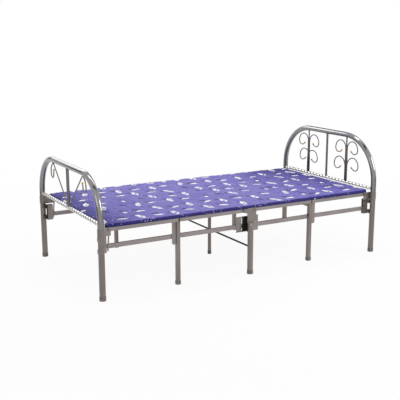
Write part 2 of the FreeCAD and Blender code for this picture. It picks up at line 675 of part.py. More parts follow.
# ---------------------------------------------------------------- headboard
def headboard():
    head_x = "(leg_spacing / 2)"
    arch("headboard_arch", head_x, head_arch_height, "head_bend_radius")
    end_cross_bar("headboard_twisted_bar", head_x)
    stay("headboard_stay", head_x, "head_stay_diameter", head_arch_height)

    # Each upright is a centre rod with four thinner rods round it, which leave it as scrolls.
    into_bend = f"max({upright_y} + upright_diameter / 2 - (leg_track / 2 - head_bend_radius); 0)"
    inner_bend = "(head_bend_radius - end_tube_diameter / 2)"
    top = f"({head_arch_height} - head_bend_radius + sqrt({inner_bend}^2 - {into_bend}^2) - seat_gap)"
    uprights = [rod("z", "upright_diameter", end_bar_top, top, (head_x, y))
                for y in (f"-{upright_y}", upright_y)]
    node("headboard_uprights", group(uprights))
    thin = size("fan_rod_diameter")
    beside = (size("upright_diameter") + thin) / 2 + size("seat_gap")
    low = size(f"{end_bar_top} + rod_lift")
    bent = []
    for side in (1, -1):
        for level in (0, 1):
            # Upper scrolls rise beside the centre rod, lower ones in front of it and behind it.
            offset = beside if level else 0.0
            shift = 0.0 if level else beside * side
            start = size(f"{head_arch_height} - scroll_start")
            rise = start - (1 - level) * size("scroll_drop") - low
            bend = size("scroll_radius") + beside - offset
            moves = [(rise, bend, 90.0)] + scroll_bends
            shape, tip = bent_rod(thin, (offset, low), 90.0, moves)
            if side < 0:
                shape = shape.mirror(Vector(), Vector(0, 1, 0))
                tip = Vector(tip.x, -tip.y, tip.z)
            across = Vector(0, size(upright_y), 0)
            shape.translate(across)
            bent.append((shape, tip + across, shift))
    place_pair("headboard_scrolls", "headboard_beads", bent, head_x)
    for name in ("hinge_plates", "lower_brackets", "pins", "feet"):
        head_copy(f"headboard_{name}", f"footboard_{name}")


# ---------------------------------------------------------------- centre frame
def centre_leg():
    """A round leg whose top is drawn out into a flat blade that carries the deck pins."""
    body = doc.addObject("PartDesign::Body", "CentreLeg")
    ring = new_sketch(body, "XY_Plane", "Ring", tube_bottom)
    draw_circle(ring, "end_tube_diameter", "0", f"-{leg_y}")
    draw_circle(ring, "end_tube_diameter - 2 * tube_wall", "0", f"-{leg_y}")
    pad(body, ring, f"{swage_low} - {tube_bottom}")
    round_end = new_sketch(body, "XY_Plane", "RoundEnd", swage_low)
    draw_circle(round_end, "end_tube_diameter", "0", f"-{leg_y}")
    flat_end = new_sketch(body, "XY_Plane", "FlatEnd", blade_low)
    draw_outline(flat_end, rectangle("blade_left", "blade_right", *near(plate_in, plate_out)))
    doc.recompute()
    swage = body.newObject("PartDesign::AdditiveLoft", "Swage")
    swage.Profile = round_end
    swage.Sections = [flat_end]
    blade = new_sketch(body, "XZ_Plane", "Blade", plate_in)
    draw_outline(blade, [
        ("blade_left", blade_low), ("blade_right", blade_low),
        ("blade_right", f"{blade_high} - blade_corner"), ("blade_right - blade_corner", blade_high),
        ("blade_left + blade_small_corner", blade_high), ("blade_left", "deck_pivot_height + ear_radius"),
        (f"{centre_pivot} - ear_flat", "deck_pivot_height + ear_radius"),
        (f"{centre_pivot} - ear_radius", "deck_pivot_height + ear_flat"),
        (f"{centre_pivot} - ear_radius", "deck_pivot_height - ear_flat"),
        (f"{centre_pivot} - ear_flat", "deck_pivot_height - ear_radius"),
        ("blade_left", "deck_pivot_height - ear_radius - ear_fall")])
    for x in (centre_pivot, "centre_pivot_reach"):
        draw_circle(blade, seat_hole, x, "deck_pivot_height")
    pad(body, blade, "plate_thickness")
    return body


def centre_frame():
    near_leg = node("centre_leg_near", centre_leg())
    node("centre_leg_far", mirrored(near_leg, Vector(0, 1, 0)))

    rod_hole = rod("y", "cross_rod_diameter + 2 * seat_gap", "-middle_tube_diameter",
                   "middle_tube_diameter", ("0", "cross_rod_height"))
    middle = round_tube("middle_tube_diameter", "tube_wall", tube_bottom, f"({top_bar_low} - seat_gap)",
                        ("0", "0"))
    node("centre_middle_leg", cut(middle, [rod_hole]))
    reach = f"({tube_face} - seat_gap)"
    node("centre_cross_rod", rod("y", "cross_rod_diameter", f"-{reach}", reach, ("0", "cross_rod_height")))
    reach = f"({plate_in} - seat_gap)"
    node("centre_top_bar", box(("-top_bar_thickness / 2", "top_bar_thickness / 2"), (f"-{reach}", reach),
                               (top_bar_low, f"{top_bar_low} + top_bar_height")))

    near_bracket = node("centre_lower_bracket_near", centre_bracket())
    node("centre_lower_bracket_far", mirrored(near_bracket, Vector(0, 1, 0)))

    pins = [outside_pin(x) for x in (centre_pivot, "centre_pivot_reach")]
    pins += [lower_pin(x) for x in (centre_low_pivot, f"-{centre_low_pivot}")]
    node("centre_pins", group(both_sides(pins)))
    foot_cups("centre_feet", "0", [(f"-{leg_y}", "end_tube_diameter"), ("0", "middle_tube_diameter"),
                                   (leg_y, "end_tube_diameter")])


def centre_bracket():
    """The plate behind a centre leg, with a wing, a web and a lug for each lower rail."""
    low, high = f"({channel_low} + centre_plate_inset)", f"({channel_high} - centre_plate_inset)"
    middle = f"(({low} + {high}) / 2)"
    cheek = near(cheek_in, cheek_out)
    pieces = [box(("-centre_web_edge", "centre_web_edge"), cheek, (low, high))]
    ties = [(low, f"{low} + tie_height"), (f"{middle} - tie_height / 2", f"{middle} + tie_height / 2"),
            (f"{high} - tie_height", high)]
    lug_span = (f"{lower_z} - lug_height / 2", f"{lower_z} + lug_height / 2")
    web_outer = "(centre_pivot_reach + lower_pivot_shift - lower_rail_height / 2 - 2 * running_gap)"
    web_inner = f"({web_outer} - centre_web_wall)"
    for flip in (False, True):
        def span(inner, outer):
            return (f"-({outer})", f"-({inner})") if flip else (inner, outer)
        pieces.append(box(span("centre_cheek_near", "centre_cheek_far"), cheek, (low, high)))
        pieces += [box(span("centre_web_edge", "centre_cheek_near"), cheek, height) for height in ties]
        pieces.append(box(span(web_inner, web_outer), near(lug_in, cheek_out), lug_span))
        pieces.append(box(span(web_inner, "centre_lug_reach"), near(lug_in, lug_out), lug_span))
    holes = [rod("y", seat_hole, f"-{lug_out} - 1", f"-{lug_in} + 1", (x, lower_z))
             for x in (centre_low_pivot, f"-{centre_low_pivot}")]
    blocks = spacers(("-spacer_length / 2", "spacer_length / 2"), "centre_spacer_height",
                     (f"{channel_low} + centre_spacer_inset", f"{swage_low} - centre_spacer_inset"))
    return group([cut(fuse(pieces), holes)] + blocks)


# ---------------------------------------------------------------- lock hooks
def lock_hook():
    """A strap that turns on the foot end's lower pin; its top stands against the deck rail."""
    body = doc.addObject("PartDesign::Body", "LockHook")
    sketch = new_sketch(body, "XZ_Plane", "Strap", cheek_in)
    half, above, below = size("hook_width") / 2, size("lower_pivot_drop"), size("hook_below")
    sketch.addGeometry(Part.LineSegment(Vector(half, above), Vector(half, -below)))
    bottom = Part.Circle(Vector(0, -below), Vector(0, 0, 1), half)
    sketch.addGeometry(Part.ArcOfCircle(bottom, math.pi, 2 * math.pi))
    sketch.addGeometry(Part.LineSegment(Vector(-half, -below), Vector(-half, above)))
    top = Part.Circle(Vector(0, above), Vector(0, 0, 1), half)
    sketch.addGeometry(Part.ArcOfCircle(top, 0, math.pi))
    for joint in ((0, 2, 1, 2), (1, 1, 2, 1), (2, 2, 3, 2), (3, 1, 0, 1)):
        sketch.addConstraint(Sketcher.Constraint("Tangent", *joint))
    fix_point(sketch, 3, 3, "0", "lower_pivot_drop")
    fix_point(sketch, 1, 3, "0", "-hook_below")
    index = sketch.addConstraint(Sketcher.Constraint("Radius", 3, half))
    tie(sketch, f"Constraints[{index}]", "hook_width / 2")
    draw_circle(sketch, "hook_hole", "0", "0")
    pad(body, sketch, "cheek_thickness")
    body.Placement = Placement(Vector(), Rotation(Vector(0, 1, 0), size("hook_lean")))
    tie(body, "Placement.Base.x", foot_low_pivot)
    tie(body, "Placement.Base.z", lower_z)
    return body


# ---------------------------------------------------------------- the whole bed
deck()
prop_legs()
footboard()
headboard()
centre_frame()
near_hook = node("lock_hook_near", lock_hook())
node("lock_hook_far", mirrored(near_hook, Vector(0, 1, 0)))
for kind in ("deck_frame", "deck_board", "deck_cover", "lower_rails"):
    head_copy(f"{kind}_3", f"{kind}_2")
    head_copy(f"{kind}_4", f"{kind}_1")
for name in ("legs", "crossbar", "brackets", "pins", "feet"):
    head_copy(f"head_prop_{name}", f"foot_prop_{name}")
doc.recompute()

for thing in doc.Objects:
    if {"Invalid", "Error"} & set(thing.State):
        raise RuntimeError(f"{thing.Label} did not build: {thing.State}")
for label, thing in nodes.items():
    if thing.Shape.isNull() or not thing.Shape.isValid():
        raise RuntimeError(f"{label} has no valid shape")

os.makedirs("parts", exist_ok=True)
for label, thing in nodes.items():
    thing.Shape.exportStep(f"parts/{label}.step")
print(len(nodes), "nodes")
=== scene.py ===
import math

import bpy
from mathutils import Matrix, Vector, noise


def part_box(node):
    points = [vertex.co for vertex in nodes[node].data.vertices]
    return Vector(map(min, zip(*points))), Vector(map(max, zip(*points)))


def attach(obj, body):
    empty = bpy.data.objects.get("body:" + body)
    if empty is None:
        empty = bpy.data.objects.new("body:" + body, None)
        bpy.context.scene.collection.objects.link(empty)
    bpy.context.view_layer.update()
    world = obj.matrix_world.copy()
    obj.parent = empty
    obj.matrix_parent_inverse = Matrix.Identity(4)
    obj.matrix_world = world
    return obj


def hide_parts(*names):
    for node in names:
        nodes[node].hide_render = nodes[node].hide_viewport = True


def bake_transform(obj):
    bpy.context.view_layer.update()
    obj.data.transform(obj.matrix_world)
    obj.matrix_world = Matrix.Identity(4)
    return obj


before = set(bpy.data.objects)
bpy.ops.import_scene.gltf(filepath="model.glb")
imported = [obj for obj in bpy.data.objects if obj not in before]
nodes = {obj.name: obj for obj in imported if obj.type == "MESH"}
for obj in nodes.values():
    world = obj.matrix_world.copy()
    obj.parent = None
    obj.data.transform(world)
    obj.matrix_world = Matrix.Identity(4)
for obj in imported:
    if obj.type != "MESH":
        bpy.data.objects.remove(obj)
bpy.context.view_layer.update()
print("frame loaded:", len(nodes), "nodes")

viewPoint = {
    "place": (-2.4156, -4.1204, 1.4213),
    "tilt": 77.459,  # degrees, as are roll and turn
    "roll": 0.087,
    "turn": -29.666,
    "lens": 68.3,
    "farClip": 60,
}
angles = [math.radians(viewPoint[key]) for key in ("tilt", "roll", "turn")]
bpy.ops.object.camera_add(location=viewPoint["place"], rotation=angles)
bpy.context.scene.camera = bpy.context.object
bpy.context.object.data.lens = viewPoint["lens"]
bpy.context.object.data.clip_end = viewPoint["farClip"]
bpy.context.scene.view_settings.view_transform = "Standard"


def aim(thing, place, target):
    thing.rotation_mode = "QUATERNION"
    thing.rotation_quaternion = (Vector(target) - Vector(place)).to_track_quat("-Z", "Y")


# each lamp's place, target, size and power
lamps = {
    "keyLamp": ((3.4, -3.2, 2.6), (0, 0, 0.3), (1.5, 1.9), 105),
    "topLamp": ((0.2, 0.6, 3.6), (0, 0, 0.4), (3.2, 0.7), 34),
    "sideLamp": ((-3.6, -1.6, 2.2), (-0.4, 0, 0.4), (0.8, 1.6), 10),
    "footRimLamp": ((-1.0, 3.3, 1.85), (-1.0, 0, 0.6), (2.0, 0.45), 4),
    "headRimLamp": ((-0.4, 3.3, 2.75), (-0.4, 0, 0.7), (2.5, 1.2), 30),
}
for lampName, (place, target, size, power) in lamps.items():
    bpy.ops.object.light_add(type="AREA", location=place)
    lamp = bpy.context.object
    lamp.name = lampName
    aim(lamp, place, target)
    lamp.data.shape = "RECTANGLE"
    lamp.data.size, lamp.data.size_y = size
    lamp.data.energy = power

# dark cards that only reflections see, each with its place, target and size
cards = {
    "backCard": ((-1.7, 3.35, 1.1), (-1.7, 0, 1.1), (0.5, 0.9)),
    "edgeCard": ((2.5, 3.35, 2.3), (2.5, 0, 2.3), (2.4, 2.4)),
    "footBackCard": ((-2.45, 3.2, 0.8), (-2.45, 0, 0.8), (0.5, 1.1)),
    "leftCard": ((-2.7, 0.3, 0.3), (0, 0, 0.3), (1.5, 0.6)),
    "rightCard": ((1.9, -1.9, 0.3), (0, 0, 0.3), (1.0, 0.6)),
    "ceilingCard": ((0.0, -0.9, 3.4), (0, -0.9, 0), (4.4, 0.6)),
}
cardBlack = bpy.data.materials.new("cardBlack")
cardBlack.use_nodes = True
cardPaint = cardBlack.node_tree.nodes["Principled BSDF"].inputs
cardPaint["Base Color"].default_value = (0.01, 0.01, 0.01, 1)
cardPaint["Specular IOR Level"].default_value = 0
for cardName, (place, target, size) in cards.items():
    bpy.ops.mesh.primitive_plane_add(size=1, location=place)
    card = bpy.context.object
    card.name = cardName
    card.scale = (*size, 1)
    aim(card, place, target)
    card.visible_camera = card.visible_diffuse = False
    card.visible_shadow = card.visible_transmission = False
    card.data.materials.append(cardBlack)


def addNode(tree, kind, settings=None, feeds=None):
    node = tree.nodes.new(kind)
    for key, value in (settings or {}).items():
        setattr(node, key, value)
    for key, value in (feeds or {}).items():
        if isinstance(value, bpy.types.NodeSocket):
            tree.links.new(value, node.inputs[key])
        else:
            node.inputs[key].default_value = value
    return node


def calc(tree, operation, first, second=0.0, third=0.0, clamp=False):
    settings = {"operation": operation, "use_clamp": clamp}
    node = addNode(tree, "ShaderNodeMath", settings, {0: first, 1: second, 2: third})
    return node.outputs[0]


def distance(tree, x, y):
    squares = calc(tree, "ADD", calc(tree, "MULTIPLY", x, x), calc(tree, "MULTIPLY", y, y))
    return calc(tree, "SQRT", squares)


def spanned(tree, value, fromLow, fromHigh, toLow=0.0, toHigh=1.0):
    settings = {"interpolation_type": "SMOOTHSTEP"}
    feeds = {0: value, 1: fromLow, 2: fromHigh, 3: toLow, 4: toHigh}
    return addNode(tree, "ShaderNodeMapRange", settings, feeds).outputs[0]


def blended(tree, share, first, second):
    node = addNode(tree, "ShaderNodeMix", {"data_type": "RGBA"}, {"Factor": share})
    for socket, value in ((node.inputs[6], first), (node.inputs[7], second)):
        if isinstance(value, bpy.types.NodeSocket):
            tree.links.new(value, socket)
        else:
            socket.default_value = (*value[:3], 1)
    return node.outputs[2]


# 1 for the rays that see the background as it is, 0 for those that light the bed
def whiteForEyes(tree):
    path = addNode(tree, "ShaderNodeLightPath").outputs
    seen = calc(tree, "MAXIMUM", path["Is Camera Ray"], path["Is Glossy Ray"])
    return calc(tree, "MAXIMUM", seen, path["Is Transmission Ray"])


studio = {
    "ambient": 0.46,
    "floorWhite": 0.93,
    "floorGlow": 0.93,
    "floorHalf": 9.0,
    "floorLevel": -0.0003,
    "glowFrom": 1.6,
    "glowTo": 3.6,
}
world = bpy.data.worlds.new("studioWorld")
bpy.context.scene.world = world
world.use_nodes = True
worldTree = world.node_tree
backdrop = worldTree.nodes["Background"]
backdrop.inputs["Color"].default_value = (1, 1, 1, 1)
ambientShare = 1 - studio["ambient"]
worldStrength = calc(
    worldTree, "MULTIPLY_ADD", whiteForEyes(worldTree), ambientShare, studio["ambient"])
worldTree.links.new(worldStrength, backdrop.inputs["Strength"])

bpy.ops.mesh.primitive_plane_add(
    size=2 * studio["floorHalf"], location=(0, 0, studio["floorLevel"]))
studioFloor = bpy.context.object
studioFloor.name = "studioFloor"
floorMaterial = bpy.data.materials.new("studioFloorPaint")
floorMaterial.use_nodes = True
floorTree = floorMaterial.node_tree
floorTree.nodes.clear()
floorPlace = addNode(floorTree, "ShaderNodeTexCoord").outputs["Object"]
floorReach = addNode(floorTree, "ShaderNodeVectorMath", {"operation": "LENGTH"}, {0: floorPlace})
farShare = spanned(floorTree, floorReach.outputs["Value"],
                   studio["glowFrom"], studio["glowTo"], studio["floorGlow"], 1)
glowShare = calc(floorTree, "MULTIPLY", farShare, whiteForEyes(floorTree))
paleWhite = (studio["floorWhite"],) * 3 + (1,)
matte = addNode(floorTree, "ShaderNodeBsdfDiffuse", None, {"Color": paleWhite})
glow = addNode(floorTree, "ShaderNodeEmission", None, {"Strength": 1.0})
floorMix = addNode(floorTree, "ShaderNodeMixShader", None, {0: glowShare})
floorTree.links.new(matte.outputs[0], floorMix.inputs[1])
floorTree.links.new(glow.outputs[0], floorMix.inputs[2])
floorOut = addNode(floorTree, "ShaderNodeOutputMaterial")
floorTree.links.new(floorMix.outputs[0], floorOut.inputs["Surface"])
studioFloor.data.materials.append(floorMaterial)
print("camera, lamps and floor placed")

number, colour, vector = "NodeSocketFloat", "NodeSocketColor", "NodeSocketVector"


def newGroup(name, takes, gives):
    group = bpy.data.node_groups.new(name, "ShaderNodeTree")
    for label, kind, value in takes:
        socket = group.interface.new_socket(label, in_out="INPUT", socket_type=kind)
        if value is not None:
            socket.default_value = value
    for label, kind in gives:
        group.interface.new_socket(label, in_out="OUTPUT", socket_type=kind)
    taken = addNode(group, "NodeGroupInput").outputs
    given = addNode(group, "NodeGroupOutput").inputs
    return group, taken, given


def noiseAt(tree, place, scale, detail=2.0, rough=0.5):
    feeds = {"Vector": place, "Scale": scale, "Detail": detail, "Roughness": rough}
    return addNode(tree, "ShaderNodeTexNoise", None, feeds).outputs["Fac"]


def stretched(tree, place, stretch):
    settings = {"operation": "MULTIPLY"}
    return addNode(tree, "ShaderNodeVectorMath", settings, {0: place, 1: stretch}).outputs[0]


def scaled(tree, value, scale):
    settings = {"operation": "SCALE"}
    return addNode(tree, "ShaderNodeVectorMath", settings, {0: value, "Scale": scale}).outputs[0]


def parted(tree, place):
    return addNode(tree, "ShaderNodeSeparateXYZ", None, {0: place}).outputs


# flecks of silver lacquer, slow unevenness and a few rubbed streaks
lacquerGroup, taken, given = newGroup(
    "silverLacquer",
    [("Place", vector, None), ("Coat", colour, (0.3, 0.28, 0.27, 1)),
     ("Rubbed", colour, (0.5, 0.48, 0.46, 1)), ("Along", vector, (1, 1, 1)),
     ("Gloss", number, 0.35)],
    [("Color", colour), ("Roughness", number), ("Height", number)])
fleck = noiseAt(lacquerGroup, taken["Place"], 900, 1)
slow = noiseAt(lacquerGroup, taken["Place"], 7, 3)
drawnPlace = stretched(lacquerGroup, taken["Place"], taken["Along"])
drawn = noiseAt(lacquerGroup, drawnPlace, 420, 3, 0.6)
tone = calc(lacquerGroup, "MULTIPLY_ADD", fleck, 0.30, 0.78)
tone = calc(lacquerGroup, "MULTIPLY", tone, spanned(lacquerGroup, slow, 0.3, 0.7, 0.9, 1.08))
tone = calc(lacquerGroup, "MULTIPLY", tone, spanned(lacquerGroup, drawn, 0.25, 0.75, 0.93, 1.06))
streak = spanned(lacquerGroup, drawn, 0.66, 0.76, 0, 0.5)
coat = blended(lacquerGroup, streak, taken["Coat"], taken["Rubbed"])
lacquerGroup.links.new(scaled(lacquerGroup, coat, tone), given["Color"])
smoothest = calc(lacquerGroup, "SUBTRACT", taken["Gloss"], 0.08)
gloss = calc(lacquerGroup, "MULTIPLY_ADD", drawn, 0.16, smoothest)
lacquerGroup.links.new(gloss, given["Roughness"])
waves = calc(lacquerGroup, "MULTIPLY", slow, 2.0)
height = calc(lacquerGroup, "MULTIPLY_ADD", fleck, 0.4, waves)
lacquerGroup.links.new(height, given["Height"])

# bare metal along sharp edges, broken up by noise
wearGroup, taken, given = newGroup(
    "edgeWear",
    [("Place", vector, None), ("Reach", number, 0.0012), ("Amount", number, 0.6)],
    [("Mask", number)])
rounded = addNode(wearGroup, "ShaderNodeBevel", {"samples": 4}, {"Radius": taken["Reach"]})
plain = addNode(wearGroup, "ShaderNodeNewGeometry").outputs["Normal"]
facing = addNode(wearGroup, "ShaderNodeVectorMath", {"operation": "DOT_PRODUCT"},
                 {0: rounded.outputs[0], 1: plain})
edge = spanned(wearGroup, facing.outputs["Value"], 0.995, 0.86)
broken = spanned(wearGroup, noiseAt(wearGroup, taken["Place"], 160, 4, 0.7), 0.42, 0.62)
mask = calc(wearGroup, "MULTIPLY", calc(wearGroup, "MULTIPLY", edge, broken), taken["Amount"])
wearGroup.links.new(mask, given["Mask"])

# dust and dull marks that gather low on the legs
dustGroup, taken, given = newGroup(
    "floorDust", [("Place", vector, None), ("Top", number, 0.22)], [("Mask", number)])
low = spanned(dustGroup, parted(dustGroup, taken["Place"])["Z"], 0.0, taken["Top"], 1, 0)
spots = spanned(dustGroup, noiseAt(dustGroup, taken["Place"], 55, 5, 0.65), 0.4, 0.72)
dustGroup.links.new(calc(dustGroup, "MULTIPLY", low, spots), given["Mask"])


def startMaterial(name):
    material = bpy.data.materials.new(name)
    material.use_nodes = True
    tree = material.node_tree
    place = addNode(tree, "ShaderNodeTexCoord").outputs["Object"]
    return material, tree, tree.nodes["Principled BSDF"], place


def placed(tree, group, feeds):
    return addNode(tree, "ShaderNodeGroup", {"node_tree": group}, feeds).outputs


def raised(tree, shader, heightSocket, depth, strength):
    feeds = {"Strength": strength, "Distance": depth, "Height": heightSocket}
    bump = addNode(tree, "ShaderNodeBump", None, feeds)
    tree.links.new(bump.outputs[0], shader.inputs["Normal"])


def coloured(tree, shader, shown, roughness):
    tree.links.new(shown, shader.inputs["Base Color"])
    tree.links.new(roughness, shader.inputs["Roughness"])


def dusted(tree, shown, dusty, share, dust):
    return blended(tree, calc(tree, "MULTIPLY", dusty, share), shown, dust)


metalBump = 0.00006


def lacquered(name, coat, rubbed, along, gloss, metal, wear=0.6):
    material, tree, shader, place = startMaterial(name)
    coating = placed(tree, lacquerGroup, {
        "Place": place, "Coat": (*coat, 1), "Rubbed": (*rubbed, 1), "Along": along, "Gloss": gloss})
    worn = placed(tree, wearGroup, {"Place": place, "Reach": 0.0011, "Amount": wear})["Mask"]
    dusty = placed(tree, dustGroup, {"Place": place, "Top": 0.2})["Mask"]
    shown = blended(tree, worn, coating["Color"], rubbed)
    shown = dusted(tree, shown, dusty, 0.4, (0.24, 0.21, 0.18))
    coloured(tree, shader, shown, calc(tree, "MULTIPLY_ADD", dusty, 0.2, coating["Roughness"]))
    shader.inputs["Metallic"].default_value = metal
    raised(tree, shader, coating["Height"], metalBump, 0.5)
    return material


# each lacquer's coat, rubbed colour, direction of its streaks, gloss, metallic share and wear
alongX, alongY, alongZ, allWays = (0.04, 1, 1), (1, 0.04, 1), (1, 1, 0.04), (1, 1, 1)
lacquers = {
    "railGrey": ((0.335, 0.295, 0.292), (0.55, 0.51, 0.49), alongX, 0.34, 0.45),
    "crossGrey": ((0.27, 0.24, 0.23), (0.52, 0.48, 0.46), alongY, 0.38, 0.45),
    "legGrey": ((0.255, 0.218, 0.205), (0.52, 0.47, 0.44), alongZ, 0.30, 0.45),
    "plateGrey": ((0.30, 0.262, 0.248), (0.56, 0.52, 0.49), allWays, 0.38, 0.5, 0.9),
    "pinSteel": ((0.20, 0.185, 0.175), (0.5, 0.48, 0.46), allWays, 0.32, 0.85),
    "rodSteel": ((0.15, 0.138, 0.142), (0.5, 0.48, 0.48), allWays, 0.15, 0.9, 0.3),
    "stayGrey": ((0.205, 0.188, 0.20), (0.5, 0.47, 0.47), alongZ, 0.20, 0.8, 0.3),
    "weldGrey": ((0.26, 0.24, 0.235), (0.5, 0.47, 0.45), allWays, 0.42, 0.6, 0.4),
    "blackRod": ((0.025, 0.024, 0.024), (0.2, 0.19, 0.18), alongY, 0.42, 0.2),
}
finishes = {name: lacquered(name, *values) for name, values in lacquers.items()}
print("lacquers made:", len(finishes))

# plated skin: cloudy haze, hairline polish marks, and darker and duller towards the floor, where
# the darker colour is a painted reflection of the floor
platingGroup, taken, given = newGroup(
    "platedSkin",
    [("Place", vector, None), ("Bright", colour, (0.62, 0.6, 0.6, 1)),
     ("PaintedFloorReflection", colour, (0.3, 0.27, 0.26, 1)), ("Gloss", number, 0.16), ("LowZ", number, 0.2),
     ("HighZ", number, 0.5)],
    [("Color", colour), ("Roughness", number), ("Height", number)])
haze = noiseAt(platingGroup, taken["Place"], 22, 4, 0.6)
hairline = noiseAt(platingGroup, stretched(platingGroup, taken["Place"], (1, 1, 0.12)), 700, 3, 0.7)
up = parted(platingGroup, taken["Place"])["Z"]
# painted reflection: low down the colour turns to the painted floor reflection
paintedReflectionLift = spanned(platingGroup, up, taken["LowZ"], taken["HighZ"])
cloud = spanned(platingGroup, haze, 0.3, 0.7, -0.12, 0.12)
share = calc(platingGroup, "ADD", paintedReflectionLift, cloud, clamp=True)
plate = blended(platingGroup, share, taken["PaintedFloorReflection"], taken["Bright"])
rub = spanned(platingGroup, hairline, 0.3, 0.7, 0.92, 1.06)
platingGroup.links.new(scaled(platingGroup, plate, rub), given["Color"])
lowShare = calc(platingGroup, "SUBTRACT", 1.0, share)
dulled = calc(platingGroup, "MULTIPLY_ADD", lowShare, 0.16, taken["Gloss"])
roughness = calc(platingGroup, "MULTIPLY_ADD", hairline, 0.07, dulled)
platingGroup.links.new(roughness, given["Roughness"])
height = calc(platingGroup, "MULTIPLY_ADD", hairline, 0.04, haze)
platingGroup.links.new(height, given["Height"])


def plated(name, bright, paintedFloorReflection, gloss, metal, lowZ, highZ):
    material, tree, shader, place = startMaterial(name)
    skin = placed(tree, platingGroup, {
        "Place": place, "Bright": (*bright, 1), "PaintedFloorReflection": (*paintedFloorReflection, 1), "Gloss": gloss,
        "LowZ": lowZ, "HighZ": highZ})
    dusty = placed(tree, dustGroup, {"Place": place, "Top": 0.16})["Mask"]
    shown = dusted(tree, skin["Color"], dusty, 0.35, (0.22, 0.19, 0.17))
    coloured(tree, shader, shown, calc(tree, "MULTIPLY_ADD", dusty, 0.25, skin["Roughness"]))
    shader.inputs["Metallic"].default_value = metal
    raised(tree, shader, skin["Height"], metalBump, 0.3)
    return material


# each plating's bright colour, painted floor reflection colour, gloss, metallic share and the
# heights between which the painted floor reflection gives way to the bright colour
platings = {
    "archPlate": ((0.27, 0.262, 0.264), (0.205, 0.175, 0.162), 0.09, 0.85, 0.22, 0.60),
    "beadBrass": ((0.58, 0.36, 0.085), (0.40, 0.235, 0.05), 0.16, 1.0, 0.0, 0.55),
}
finishes.update({name: plated(name, *values) for name, values in platings.items()})

spiralBar = {
    "starts": 2,
    "perRidge": 16,  # points round the bar from one crest to the next
    "crest": 0.0110,
    "groove": 0.0094,
    "sharpness": 2.2,
    "lead": 0.070,
    "stepsPerTurn": 40,
    "reach": 0.4675,
    "axisX": 0.95,
    "axisZ": 0.42,
    "smoothAngle": 50,
    "bright": (0.74, 0.74, 0.73, 1),
    # painted floor reflection colour
    "paintedFloorReflection": (0.6, 0.6, 0.58, 1),
    # painted shade colour for the grooves
    "paintedGrooveShade": (0.23, 0.22, 0.215),
    "brightBand": 0.0004,  # this far under the crests the painted groove shade is gone
}


def spiralChrome():
    material, tree, shader, place = startMaterial("barChrome")
    skin = placed(tree, platingGroup, {
        "Place": place, "Bright": spiralBar["bright"], "PaintedFloorReflection": spiralBar["paintedFloorReflection"],
        "Gloss": 0.10, "LowZ": 0.0, "HighZ": 0.3})
    parts = parted(tree, place)
    outX = calc(tree, "SUBTRACT", calc(tree, "ABSOLUTE", parts["X"]), spiralBar["axisX"])
    outZ = calc(tree, "SUBTRACT", parts["Z"], spiralBar["axisZ"])
    # painted shade in the grooves, fading out just under the crests
    ragged = calc(tree, "MULTIPLY_ADD", noiseAt(tree, place, 300, 3, 0.6), 0.0007, -0.00035)
    grooveShadeShare = spanned(tree, calc(tree, "ADD", distance(tree, outX, outZ), ragged),
                   spiralBar["groove"], spiralBar["crest"] - spiralBar["brightBand"], 1, 0)
    shown = blended(tree, grooveShadeShare, skin["Color"], spiralBar["paintedGrooveShade"])
    coloured(tree, shader, shown, calc(tree, "MULTIPLY_ADD", grooveShadeShare, 0.35, skin["Roughness"]))
    shader.inputs["Metallic"].default_value = 0.9
    raised(tree, shader, skin["Height"], metalBump, 0.4)
    return material


def tintedOrPaintedShade(name, base, fromX, toX, tint, most):
    material = finishes[base].copy()
    material.name = name
    tree = material.node_tree
    shader = tree.nodes["Principled BSDF"]
    texture = next(node for node in tree.nodes if node.bl_idname == "ShaderNodeTexCoord")
    place = texture.outputs["Object"]
    outward = calc(tree, "ABSOLUTE", parted(tree, place)["X"])
    patchy = spanned(tree, noiseAt(tree, place, 90, 4, 0.7), 0.25, 0.4)
    share = calc(tree, "MULTIPLY", spanned(tree, outward, fromX, toX, 0, most), patchy)
    lacquer = shader.inputs["Base Color"].links[0].from_socket
    tree.links.new(blended(tree, share, lacquer, tint), shader.inputs["Base Color"])
    return material


# each tint's base finish, the distances from the bed's middle it sets in between, tint and share;
# legPlate's near-black is painted shade by the leg, and centrePlate is near-black in the bed's
# middle
tintsAndPaintedShade = {
    # near-black within 38.5 mm of the bed's middle
    "centrePlate": ("plateGrey", 0.0400, 0.0385, (0.012, 0.010, 0.010), 0.94),
    "hingePlate": ("plateGrey", 0.926, 0.930, (0.205, 0.18, 0.17), 0.9),
    # painted shade: near-black on the bracket's channel next to the leg
    "legPlate": ("plateGrey", 0.9364, 0.9370, (0.02, 0.018, 0.017), 0.9),
}
finishes.update({name: tintedOrPaintedShade(name, *values) for name, values in tintsAndPaintedShade.items()})

footCap = {
    "tint": (0.175, 0.155, 0.145),
    "scuffed": (0.22, 0.20, 0.185),
    "dust": (0.33, 0.30, 0.26),
}


def mouldedPlastic():
    material, tree, shader, place = startMaterial("footPlastic")
    grain = noiseAt(tree, place, 1100, 2)
    dusty = placed(tree, dustGroup, {"Place": place, "Top": 0.03})["Mask"]
    scuff = spanned(tree, noiseAt(tree, place, 210, 4, 0.7), 0.58, 0.7, 0, 0.6)
    shown = blended(tree, scuff, footCap["tint"], footCap["scuffed"])
    shown = dusted(tree, shown, dusty, 0.7, footCap["dust"])
    coloured(tree, shader, shown, calc(tree, "MULTIPLY_ADD", scuff, 0.2, 0.5))
    raised(tree, shader, grain, 0.0001, 0.5)
    return material


board = {
    "fibreDark": (0.16, 0.095, 0.05),
    "fibreLight": (0.36, 0.235, 0.14),
    "patch": (0.42, 0.30, 0.19),
    "screenPitch": 0.0026,  # of the screen that the back was pressed on
}


